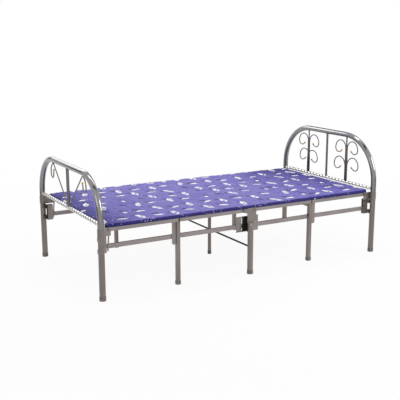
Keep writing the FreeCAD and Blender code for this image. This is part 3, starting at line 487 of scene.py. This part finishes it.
def pressedBoard():
    material, tree, shader, place = startMaterial("pressedBoard")
    fibres = noiseAt(tree, stretched(tree, place, (1, 0.4, 1)), 520, 6, 0.75)
    patches = noiseAt(tree, place, 9, 3)
    perMetre = 2 * math.pi / board["screenPitch"]
    parts = parted(tree, place)
    acrossX = calc(tree, "SINE", calc(tree, "MULTIPLY", parts["X"], perMetre))
    acrossY = calc(tree, "SINE", calc(tree, "MULTIPLY", parts["Y"], perMetre))
    screen = calc(tree, "MULTIPLY", acrossX, acrossY)
    shown = blended(tree, spanned(tree, fibres, 0.3, 0.7), board["fibreDark"], board["fibreLight"])
    shown = blended(tree, spanned(tree, patches, 0.35, 0.7, 0, 0.35), shown, board["patch"])
    coloured(tree, shader, shown, calc(tree, "MULTIPLY_ADD", fibres, 0.25, 0.62))
    raised(tree, shader, calc(tree, "MULTIPLY_ADD", fibres, 0.8, screen), 0.00025, 0.6)
    return material


finishes["barChrome"] = spiralChrome()
finishes["footPlastic"] = mouldedPlastic()
finishes["pressedBoard"] = pressedBoard()
print("plating, plastic and board made")

# blossoms, buds, strokes and dark leaves in staggered rows on a brushed violet ground
cloth = {
    "ground": (0.150, 0.130, 0.455),
    "groundPale": (0.235, 0.212, 0.55),
    # painted shade colour of the ground
    "groundInShade": (0.045, 0.038, 0.205),
    # painted shade on the long edges and down the sides
    "sideShade": (0.028, 0.022, 0.155),
    "sideShadeFrom": 0.457,
    "sideShadeTo": 0.463,
    "white": (0.96, 0.96, 0.97),
    "fleck": (0.52, 0.50, 0.80),
    "leaf": (0.045, 0.043, 0.10),
    "cell": (0.112, 0.138),
    "rowShift": 0.052,
    "loose": 0.36,
    "swing": 0.9,
    "petals": 5.0,
    "blossomSize": (0.0182, 0.0465),
    "heartSize": (0.0062, 0.0125),
    "heartPlace": (0.003, -0.007),
    "strokeSize": (0.036, 0.0130),
    "strokeBow": 0.4,
    "budSize": (0.012, 0.021),
    "leafSize": (0.036, 0.019),
    "leafPlace": (-0.024, 0.026),
    "budsAbove": 0.74,  # of the cell's chance, from 0 to 1
    "strokesBelow": 0.80,
    "chanceStep": 0.01,
}

# one motif in each cell of a staggered grid: gives the place inside it and the cell's own chances
cellGroup, taken, given = newGroup(
    "motifCell",
    [("Flat", vector, None), ("CellX", number, 0.12), ("CellY", number, 0.16),
     ("Seed", number, 0.0), ("Loose", number, 0.3), ("Swing", number, 0.5)],
    [("Spot", vector), ("Odd", number), ("Chance", number), ("Chance2", number)])
flat = parted(cellGroup, taken["Flat"])
down = calc(cellGroup, "DIVIDE", flat["Y"], taken["CellY"])
row = calc(cellGroup, "FLOOR", down)
stagger = calc(cellGroup, "MULTIPLY", calc(cellGroup, "FLOORED_MODULO", row, 2.0), 0.5)
across = calc(cellGroup, "ADD", calc(cellGroup, "DIVIDE", flat["X"], taken["CellX"]), stagger)
column = calc(cellGroup, "FLOOR", across)
cellKey = addNode(cellGroup, "ShaderNodeCombineXYZ", None, {0: column, 1: row, 2: taken["Seed"]})
dice = addNode(cellGroup, "ShaderNodeTexWhiteNoise", {"noise_dimensions": "3D"},
               {"Vector": cellKey.outputs[0]})
rolls = addNode(cellGroup, "ShaderNodeSeparateColor", None, {0: dice.outputs["Color"]}).outputs


def rolled(roll, most):
    return calc(cellGroup, "MULTIPLY", calc(cellGroup, "SUBTRACT", roll, 0.5), most)


def inCell(place, cell, roll, size):
    middle = calc(cellGroup, "ADD", calc(cellGroup, "ADD", cell, 0.5), rolled(roll, taken["Loose"]))
    return calc(cellGroup, "MULTIPLY", calc(cellGroup, "SUBTRACT", place, middle), size)


local = addNode(cellGroup, "ShaderNodeCombineXYZ", None, {
    0: inCell(across, column, rolls[0], taken["CellX"]),
    1: inCell(down, row, rolls[1], taken["CellY"])})
turned = addNode(cellGroup, "ShaderNodeVectorRotate", {"rotation_type": "Z_AXIS"},
                 {"Vector": local.outputs[0], "Angle": rolled(rolls[2], taken["Swing"])})
cellGroup.links.new(turned.outputs[0], given["Spot"])
rowPair = calc(cellGroup, "FLOOR", calc(cellGroup, "MULTIPLY", row, 0.5))
odd = calc(cellGroup, "FLOORED_MODULO", calc(cellGroup, "ADD", column, rowPair), 2.0)
cellGroup.links.new(odd, given["Odd"])
cellGroup.links.new(dice.outputs["Value"], given["Chance"])
cellGroup.links.new(rolls[2], given["Chance2"])


def measured(tree, spot, size, offset=(0, 0)):
    parts = parted(tree, spot)
    x = calc(tree, "DIVIDE", calc(tree, "SUBTRACT", parts["X"], offset[0]), size[0])
    y = calc(tree, "DIVIDE", calc(tree, "SUBTRACT", parts["Y"], offset[1]), size[1])
    return x, y


def inside(tree, value, limit, soft=0.12):
    return spanned(tree, calc(tree, "SUBTRACT", value, limit), -soft, soft, 1, 0)


# how far a point lies outside a pointed shape that tapers to both ends
def pointed(tree, along, aside, wobble):
    taper = calc(tree, "SUBTRACT", 1.0, calc(tree, "MULTIPLY", along, along))
    limit = calc(tree, "ADD", taper, wobble)
    return calc(tree, "SUBTRACT", calc(tree, "ABSOLUTE", aside), limit)


def blossomMask(tree, motif, wobble):
    x, y = measured(tree, motif["Spot"], cloth["blossomSize"])
    turnOfPetals = calc(tree, "MULTIPLY", motif["Chance2"], 6.0)
    angle = calc(tree, "ARCTAN2", y, x)
    wave = calc(tree, "COSINE", calc(tree, "MULTIPLY_ADD", angle, cloth["petals"], turnOfPetals))
    outline = calc(tree, "ADD", calc(tree, "MULTIPLY_ADD", wave, 0.10, 0.90), wobble)
    petals = inside(tree, distance(tree, x, y), outline)
    heartX, heartY = measured(tree, motif["Spot"], cloth["heartSize"], cloth["heartPlace"])
    heart = inside(tree, distance(tree, heartX, heartY), calc(tree, "ADD", 1.0, wobble), 0.15)
    veins = spanned(tree, wave, -0.98, -0.80, 0.5, 1)
    return calc(tree, "MULTIPLY", calc(tree, "SUBTRACT", petals, heart, clamp=True), veins)


def budMask(tree, motif, wobble):
    x, y = measured(tree, motif["Spot"], cloth["budSize"])
    return inside(tree, distance(tree, x, y), calc(tree, "ADD", 0.9, wobble))


def strokeMask(tree, motif, wobble):
    x, y = measured(tree, motif["Spot"], cloth["strokeSize"])
    bow = calc(tree, "MULTIPLY", calc(tree, "MULTIPLY", x, x), cloth["strokeBow"])
    edge = pointed(tree, x, calc(tree, "ADD", y, bow), wobble)
    mask = calc(tree, "MULTIPLY", spanned(tree, edge, -0.35, 0.0, 1, 0),
                inside(tree, calc(tree, "ABSOLUTE", x), 1.0))
    shown = spanned(tree, motif["Chance"], cloth["strokesBelow"],
                    cloth["strokesBelow"] + cloth["chanceStep"], 1, 0)
    return calc(tree, "MULTIPLY", mask, shown)


def whiteMask(tree, motif, wobble):
    isBud = spanned(tree, motif["Chance"],
                    cloth["budsAbove"], cloth["budsAbove"] + cloth["chanceStep"])
    isBlossom = calc(tree, "SUBTRACT", 1.0, isBud)
    evenMask = calc(tree, "ADD", calc(tree, "MULTIPLY", budMask(tree, motif, wobble), isBud),
                    calc(tree, "MULTIPLY", blossomMask(tree, motif, wobble), isBlossom))
    isEven = calc(tree, "SUBTRACT", 1.0, motif["Odd"])
    oddMask = calc(tree, "MULTIPLY", strokeMask(tree, motif, wobble), motif["Odd"])
    return calc(tree, "ADD", calc(tree, "MULTIPLY", evenMask, isEven), oddMask, clamp=True)


def leafMask(tree, motif, wobble):
    turn = calc(tree, "MULTIPLY_ADD", motif["Chance"], 1.4, -0.2)
    leafSpot = addNode(tree, "ShaderNodeVectorRotate", {"rotation_type": "Z_AXIS"},
                       {"Vector": motif["Spot"], "Angle": turn}).outputs[0]
    along, aside = measured(tree, leafSpot, cloth["leafSize"], cloth["leafPlace"])
    edge = pointed(tree, along, aside, wobble)
    mask = calc(tree, "MULTIPLY", spanned(tree, edge, -0.4, 0.05, 0.78, 0),
                inside(tree, calc(tree, "ABSOLUTE", along), 1.0))
    rib = spanned(tree, calc(tree, "ABSOLUTE", aside), 0.05, 0.16, 0.45, 1)
    return calc(tree, "MULTIPLY", mask, rib)


# paler in the middle, with painted shade at the foot end, the far head corner and along both long
# edges and down the sides
def clothGround(tree, flatPlace, brushed):
    parts = parted(tree, flatPlace)
    fromMiddle = calc(tree, "ABSOLUTE", calc(tree, "ADD", parts["X"], 0.15))
    middle = spanned(tree, fromMiddle, 0.25, 0.95, 0.75, 0.0)
    cloudy = calc(tree, "MULTIPLY_ADD", noiseAt(tree, flatPlace, 5, 3), 0.6, -0.3)
    streaks = calc(tree, "MULTIPLY_ADD", brushed, 2.6, -1.3)
    paleShare = calc(tree, "ADD", calc(tree, "ADD", middle, cloudy), streaks, clamp=True)
    ground = blended(tree, paleShare, cloth["ground"], cloth["groundPale"])
    # painted shade at the foot end and the far head corner
    footShade = spanned(tree, parts["X"], -0.93, -0.70, 0.75, 0)
    farHead = calc(tree, "MULTIPLY_ADD", parts["Y"], 0.45, parts["X"])
    headShade = spanned(tree, farHead, 0.55, 1.05, 0, 0.75)
    ground = blended(tree, calc(tree, "ADD", footShade, headShade), ground, cloth["groundInShade"])
    # painted shade along both long edges and down the sides
    outward = calc(tree, "SUBTRACT", calc(tree, "ABSOLUTE", parts["Y"]), 0.006)
    raggedSideShade = calc(tree, "MULTIPLY_ADD", brushed, 0.012, outward)
    sideShade = spanned(tree, raggedSideShade, cloth["sideShadeFrom"], cloth["sideShadeTo"], 0, 0.92)
    return blended(tree, sideShade, ground, cloth["sideShade"])


def fleckMask(tree, flatPlace):
    dots = addNode(tree, "ShaderNodeTexVoronoi", {"voronoi_dimensions": "2D"}, {
        "Vector": stretched(tree, flatPlace, (1, 0.6, 1)), "Scale": 58.0, "Randomness": 1.0})
    sparse = spanned(tree, noiseAt(tree, flatPlace, 9, 2), 0.46, 0.60)
    dot = spanned(tree, dots.outputs["Distance"], 0.12, 0.20, 0.75, 0)
    return calc(tree, "MULTIPLY", dot, sparse)


def printedCloth():
    material, tree, shader, _ = startMaterial("printedCloth")
    flatPlace = addNode(tree, "ShaderNodeUVMap", {"uv_map": "clothFlat"}).outputs[0]
    ragged = noiseAt(tree, flatPlace, 130, 3, 0.6)
    wobble = calc(tree, "MULTIPLY", calc(tree, "SUBTRACT", ragged, 0.5), 0.6)
    shifted = addNode(tree, "ShaderNodeVectorMath", {"operation": "ADD"},
                      {0: flatPlace, 1: (0.0, cloth["rowShift"], 0.0)}).outputs[0]
    motif = placed(tree, cellGroup, {
        "Flat": shifted, "CellX": cloth["cell"][0], "CellY": cloth["cell"][1], "Seed": 3.0,
        "Loose": cloth["loose"], "Swing": cloth["swing"]})
    brushed = noiseAt(tree, stretched(tree, flatPlace, (0.16, 1, 1)), 62, 4, 0.65)
    warp = noiseAt(tree, stretched(tree, flatPlace, (0.06, 1, 1)), 1500, 2)
    weft = noiseAt(tree, stretched(tree, flatPlace, (1, 0.06, 1)), 1500, 2)
    threads = calc(tree, "ADD", warp, weft)
    ground = clothGround(tree, flatPlace, brushed)
    ground = scaled(tree, ground, calc(tree, "MULTIPLY_ADD", threads, 0.3, 0.7))
    ground = blended(tree, fleckMask(tree, flatPlace), ground, cloth["fleck"])
    shown = blended(tree, leafMask(tree, motif, wobble), ground, cloth["leaf"])
    shown = blended(tree, whiteMask(tree, motif, wobble), shown, cloth["white"])
    coloured(tree, shader, shown, calc(tree, "MULTIPLY_ADD", threads, 0.12, 0.72))
    shader.inputs["Sheen Weight"].default_value = 0.05
    shader.inputs["Sheen Roughness"].default_value = 0.45
    shader.inputs["Specular IOR Level"].default_value = 0.12
    raised(tree, shader, calc(tree, "MULTIPLY_ADD", threads, 0.25, brushed), 0.0006, 0.6)
    return material


finishes["printedCloth"] = printedCloth()
print("printed cloth made")

# the first word found in a node's name gives its finish
wordFinish = [
    ("deck_board", "pressedBoard"),
    ("_feet", "footPlastic"),
    ("_beads", "beadBrass"),
    ("_arch", "archPlate"),
    ("cross_rod", "blackRod"),
    ("centre_lower_bracket", "centrePlate"),
    ("_pins", "pinSteel"),
    ("_scrolls", "rodSteel"),
    ("_fan_rods", "rodSteel"),
    ("_uprights", "stayGrey"),
    ("_stay", "stayGrey"),
    ("board_lower_brackets", "legPlate"),
    ("_bracket", "plateGrey"),
    ("_hinge_plates", "hingePlate"),
    ("lock_hook", "plateGrey"),
    ("top_bar", "crossGrey"),
    ("crossbar", "crossGrey"),
    ("deck_frame", "railGrey"),
    ("lower_rails", "railGrey"),
    ("_leg", "legGrey"),
]
for nodeName, node in nodes.items():
    for word, finish in wordFinish:
        if word in nodeName:
            node.data.materials.clear()
            node.data.materials.append(finishes[finish])
            break
print("finishes on the nodes")


def clearPick():
    if bpy.context.mode != "OBJECT":
        bpy.ops.object.mode_set(mode="OBJECT")
    bpy.ops.object.select_all(action="DESELECT")


def takeUp(piece):
    clearPick()
    piece.select_set(True)
    bpy.context.view_layer.objects.active = piece


def pickNothing(mode):
    bpy.ops.object.mode_set(mode="EDIT")
    bpy.ops.mesh.select_mode(type=mode)
    bpy.ops.mesh.select_all(action="DESELECT")


def pickFaces(piece, wanted):
    pickNothing("FACE")
    bpy.ops.object.mode_set(mode="OBJECT")
    for face in piece.data.polygons:
        face.select = wanted(face)
    bpy.ops.object.mode_set(mode="EDIT")


def pickPoints(piece, wanted):
    pickNothing("VERT")
    bpy.ops.object.mode_set(mode="OBJECT")
    for point in piece.data.vertices:
        point.select = wanted(point)
    bpy.ops.object.mode_set(mode="EDIT")


def pickRims():
    pickNothing("EDGE")
    bpy.ops.mesh.select_non_manifold()


def applied(piece, kind, **settings):
    takeUp(piece)
    modifier = piece.modifiers.new(kind.lower(), kind)
    for key, value in settings.items():
        setattr(modifier, key, value)
    bpy.ops.object.modifier_apply(modifier=modifier.name)


def settled(piece, angle):
    takeUp(piece)
    bpy.ops.object.transform_apply(location=True, rotation=True, scale=True)
    bpy.ops.object.mode_set(mode="EDIT")
    bpy.ops.mesh.select_all(action="SELECT")
    bpy.ops.mesh.remove_doubles(threshold=0.00001)
    bpy.ops.mesh.normals_make_consistent(inside=False)
    bpy.ops.object.mode_set(mode="OBJECT")
    bpy.ops.object.shade_smooth_by_angle(angle=math.radians(angle))


def closedUp(piece):
    takeUp(piece)
    pickRims()
    bpy.ops.mesh.edge_face_add()
    bpy.ops.object.mode_set(mode="OBJECT")


def finished(piece, name, finish, body, slotName, *stoodFor):
    piece.name = piece.data.name = name
    piece.data.materials.clear()
    piece.data.materials.append(finishes[finish])
    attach(piece, body)
    if stoodFor:
        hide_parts(*stoodFor)


# a ring of points with a crest for each start, drawn in between them and screwed along the bar
def spiralCrossBar(name, node, body):
    low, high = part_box(node)
    middle = (low + high) / 2
    perRidge = spiralBar["perRidge"]
    clearPick()
    bpy.ops.mesh.primitive_circle_add(
        vertices=spiralBar["starts"] * perRidge, radius=spiralBar["crest"], fill_type="NOTHING",
        location=(middle.x, -spiralBar["reach"], middle.z), rotation=(math.radians(90), 0, 0))
    bar = bpy.context.object
    bpy.ops.object.transform_apply(location=False, rotation=True, scale=False)
    centre = bar.location.copy()
    for phase in range(1, perRidge):
        swell = 0.5 - 0.5 * math.cos(2 * math.pi * phase / perRidge)
        depth = 1 - spiralBar["groove"] / spiralBar["crest"]
        share = 1 - swell ** spiralBar["sharpness"] * depth
        pickPoints(bar, lambda point: point.index % perRidge == phase)
        bpy.ops.transform.resize(value=(share, 1, share), center_override=centre)
        bpy.ops.object.mode_set(mode="OBJECT")
    length = 2 * spiralBar["reach"]
    turns = length / spiralBar["lead"]
    steps = round(turns * spiralBar["stepsPerTurn"])
    applied(bar, "SCREW", axis="Y", angle=2 * math.pi * turns, screw_offset=length, steps=steps,
            render_steps=steps, use_merge_vertices=False, use_smooth_shade=True)
    closedUp(bar)
    settled(bar, spiralBar["smoothAngle"])
    finished(bar, name, "barChrome", body, "twisted_chrome", node)


spiralCrossBar("footSpiralBar", "footboard_twisted_bar", "footboard")
spiralCrossBar("headSpiralBar", "headboard_twisted_bar", "headboard")
print("spiral bars made")

# rippled weld beads where rods and bars meet tubes
weld = {
    "bead": 0.0017,
    "around": 44,
    "section": 10,
    "ripples": 11,
    "uneven": 0.16,
    "drift": 900,  # starts the ripples elsewhere on each size of ring
    "barInset": 0.9985,
    "rodInset": 0.998,
    "smoothAngle": 60,
}


def weldRing(centre, axis, radius):
    turn = {"Y": (math.radians(90), 0, 0), "Z": (0, 0, 0)}[axis]
    clearPick()
    bpy.ops.mesh.primitive_torus_add(
        location=centre, rotation=turn, major_segments=weld["around"],
        minor_segments=weld["section"], major_radius=radius, minor_radius=weld["bead"])
    ring = bpy.context.object
    bpy.ops.object.transform_apply(location=True, rotation=True, scale=True)
    middle = Vector(centre)
    for index, point in enumerate(ring.data.vertices):
        around = 2 * math.pi * (index // weld["section"]) / weld["around"]
        swell = weld["uneven"] * math.sin(weld["ripples"] * around + radius * weld["drift"])
        point.co += (point.co - middle).normalized() * weld["bead"] * swell
    return ring


def weldsOf(name, body, spots):
    rings = [weldRing(*spot) for spot in spots]
    clearPick()
    for ring in rings:
        ring.select_set(True)
    bpy.context.view_layer.objects.active = rings[0]
    bpy.ops.object.join()
    bead = bpy.context.object
    settled(bead, weld["smoothAngle"])
    finished(bead, name, "weldGrey", body, "rod_steel")


def barWelds(node, inset):
    low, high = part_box(node)
    middleX, middleZ = (low.x + high.x) / 2, (low.z + high.z) / 2
    radius = (high.z - low.z) / 2
    return [((middleX, y * inset, middleZ), "Y", radius) for y in (low.y, high.y)]


# a node of two uprights has welds on both, and a single stay has them in the middle
def uprightWelds(node):
    low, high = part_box(node)
    radius = (high.x - low.x) / 2
    isPair = high.y - low.y > 3 * radius
    places = (low.y + radius, high.y - radius) if isPair else (0.0,)
    return [(((low.x + high.x) / 2, y, z), "Z", radius) for y in places for z in (low.z, high.z)]


weldsOf("footWeldBeads", "footboard",
        barWelds("footboard_twisted_bar", weld["barInset"]) + uprightWelds("footboard_stay"))
weldsOf("headWeldBeads", "headboard",
        barWelds("headboard_twisted_bar", weld["barInset"]) + uprightWelds("headboard_stay")
        + uprightWelds("headboard_uprights"))
weldsOf("centreWeldBeads", "centre_frame", barWelds("centre_cross_rod", weld["rodInset"]))
print("weld beads made")

pad = {
    "cell": 0.0062,
    "jointGap": 0.0006,
    "endShare": 0.3,
    "outerEnd": 0.9130,
    "propEnd": 0.4675,
    "centreEnd": 0.029,
    "half": 0.4598,
    "top": 0.4166,
    "edgeDepth": 0.0105,
    "hem": 0.3958,
    "hemRoll": 0.0045,
    "foamBottom": 0.4006,
    "hemFold": 0.0024,
    "corner": 0.0042,
    "uneven": 0.0005,
    "hold": 0.22,
    "cap": 0.0042,
    "frames": 20,
    "flapSteps": 6,
    "flapPast": 0.0012,
    "flapRim": 0.012,
    "flapSag": 0.0035,
    "smoothAngle": 70,
}
pressing = {
    "quality": 6,
    "mass": 0.2,
    "tension_stiffness": 18,
    "compression_stiffness": 18,
    "shear_stiffness": 6,
    "bending_stiffness": 0.35,
    "tension_damping": 8,
    "compression_damping": 8,
    "use_pressure": True,
    "uniform_pressure_force": 3.0,
    "vertex_group_mass": "firm",
    "pin_stiffness": 0.4,
    "shrink_min": -0.016,
}
wrinkles = {
    "height": 0.0026,
    "width": 0.06,
    "fine": 0.35,
    "fineScale": 2.3,
    "patchContrast": 4,
    "patchLevel": 0.55,
    "towardsHead": 0.35,
    "fadeIn": 0.02,
    "topBand": 0.0015,
}
halfGap = pad["jointGap"] / 2
sections = {
    1: ("deck_section_1", -pad["outerEnd"], -pad["propEnd"] - halfGap),
    2: ("deck_section_2", -pad["propEnd"] + halfGap, -pad["centreEnd"]),
    3: ("deck_section_3", pad["centreEnd"], pad["propEnd"] - halfGap),
    4: ("deck_section_4", pad["propEnd"] + halfGap, pad["outerEnd"]),
}


# a flat grid whose rim is drawn out step by step into rounded edges, sides, hem and turn under
def padShell(number, lowX, highX):
    length, width = highX - lowX, 2 * pad["half"]
    clearPick()
    bpy.ops.mesh.primitive_grid_add(
        x_subdivisions=round(length / pad["cell"]), y_subdivisions=round(width / pad["cell"]),
        size=1, location=((lowX + highX) / 2, 0, pad["top"]))
    cover = bpy.context.object
    bpy.ops.transform.resize(value=(length, width, 1))
    bpy.ops.object.transform_apply(location=True, rotation=False, scale=True)
    centre = ((lowX + highX) / 2, 0, 0)

    def drawIn(amount):
        ratio = (1 - 2 * amount * pad["endShare"] / length, 1 - 2 * amount / width, 1)
        bpy.ops.transform.resize(value=ratio, center_override=centre)

    pickRims()
    drawIn(pad["corner"] * 0.9)
    levels = [
        (pad["top"] - pad["corner"] * 0.35, -pad["corner"] * 0.62),
        (pad["top"] - pad["corner"] * 1.15, -pad["corner"] * 0.28),
        (pad["top"] - pad["edgeDepth"], 0),
        (pad["hem"] + pad["hemRoll"], 0),
        (pad["hem"], 0.0004),
        (pad["hem"], pad["hemFold"]),
        (pad["foamBottom"], 0.0002),
    ]
    now = pad["top"]
    for level, amount in levels:
        bpy.ops.mesh.extrude_edges_move(TRANSFORM_OT_translate={"value": (0, 0, level - now)})
        now = level
        if amount:
            drawIn(amount)
    bpy.ops.mesh.normals_make_consistent(inside=False)
    bpy.ops.object.mode_set(mode="OBJECT")
    cover.name = f"cover{number}"
    return cover


# the top swells under a little pressure while the sides are held, and no point moves past the cap
def pressedOut(cover, seed):
    rest = [point.co.copy() for point in cover.data.vertices]
    firm = cover.vertex_groups.new(name=pressing["vertex_group_mass"])
    for point in cover.data.vertices:
        onTop = point.co.z > pad["top"] - 0.0004
        firm.add([point.index], pad["hold"] if onTop else 1.0, "REPLACE")
        if onTop:
            place = Vector((point.co.x * 45, point.co.y * 60, seed * 9.7))
            point.co.z += pad["uneven"] * noise.noise(place)
    takeUp(cover)
    fabric = cover.modifiers.new("cloth", "CLOTH")
    for key, value in pressing.items():
        setattr(fabric.settings, key, value)
    fabric.settings.effector_weights.gravity = 0
    fabric.collision_settings.use_collision = False
    fabric.point_cache.frame_start, fabric.point_cache.frame_end = 1, pad["frames"]
    for step in range(1, pad["frames"] + 1):
        bpy.context.scene.frame_set(step)
    bpy.ops.object.modifier_apply(modifier=fabric.name)
    bpy.context.scene.frame_set(1)
    for point, start in zip(cover.data.vertices, rest):
        moved = point.co - start
        if moved.length > pad["cap"]:
            point.co = start + moved * (pad["cap"] / moved.length)
    cover.vertex_groups.clear()


def wrinkled(cover, lowX, highX):
    for point in cover.data.vertices:
        x, y, z = point.co
        inset = min(x - lowX, highX - x, pad["half"] - abs(y))
        if z < pad["top"] - wrinkles["topBand"] or inset <= 0:
            continue
        place = Vector((x * 3.1 + y * 1.3, y * 6.2 - x * 1.1, 4.1))
        wave = noise.noise(place) + wrinkles["fine"] * noise.noise(place * wrinkles["fineScale"])
        patch = noise.noise(Vector((x * 2.6, y * 3.1, 9))) * wrinkles["patchContrast"]
        patch = min(max(patch + wrinkles["patchLevel"] + x * wrinkles["towardsHead"], 0), 1)
        ridge = max(0, 1 - abs(wave) / wrinkles["width"])
        point.co.z += wrinkles["height"] * ridge * patch * min(inset / wrinkles["fadeIn"], 1)


# the inner covers run on to the bed's middle, where they meet and dip a little
def centreFlap(cover, inward):
    end = pad["centreEnd"]

    def onFlapRim(face):
        place = face.center
        if abs(abs(place.x) - end) > pad["flapPast"] or abs(face.normal.x) < 0.5:
            return False
        onTop = place.z > pad["top"] - pad["flapRim"]
        return onTop or abs(place.y) > pad["half"] - pad["cell"] * 1.1

    pickFaces(cover, onFlapRim)
    stride = (end + pad["flapPast"]) / pad["flapSteps"] * inward
    for _ in range(pad["flapSteps"]):
        bpy.ops.mesh.extrude_region_move(TRANSFORM_OT_translate={"value": (stride, 0, 0)})
    bpy.ops.object.mode_set(mode="OBJECT")
    for point in cover.data.vertices:
        past = (end - abs(point.co.x)) / end
        if past > 0:
            point.co.z -= pad["flapSag"] * (1 - math.cos(math.pi * min(past, 1))) / 2


# laid flat: the sides fold out from the top's edges
def mapCloth(cover):
    layer = cover.data.uv_layers.new(name="clothFlat")
    for loop in cover.data.loops:
        place = cover.data.vertices[loop.vertex_index].co
        drop = max(0.0, pad["top"] - 0.001 - place.z)
        side = math.copysign(drop, place.y) if abs(place.y) > pad["half"] - 0.006 else 0
        layer.data[loop.index].uv = (place.x, place.y + side)


for number, (body, lowX, highX) in sections.items():
    side = {2: -1, 3: 1}.get(number, 0)  # of the bed's middle that an inner cover lies on
    cover = padShell(number, lowX, highX)
    pressedOut(cover, number)
    if side:
        centreFlap(cover, -side)
    applied(cover, "SUBSURF", levels=1, render_levels=1)
    wrinkled(cover, lowX, highX)
    closedUp(cover)
    settled(cover, pad["smoothAngle"])
    mapCloth(cover)
    name, node = f"printedCover{number}", f"deck_cover_{number}"
    if side:
        cover.name = cover.data.name = name
        cover.data.materials.append(finishes["printedCloth"])
        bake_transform(cover)
        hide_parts(node)
    else:
        finished(cover, name, "printedCloth", body, "printed_fabric", node)
    print("cover", number, "made:", len(cover.data.polygons), "faces")
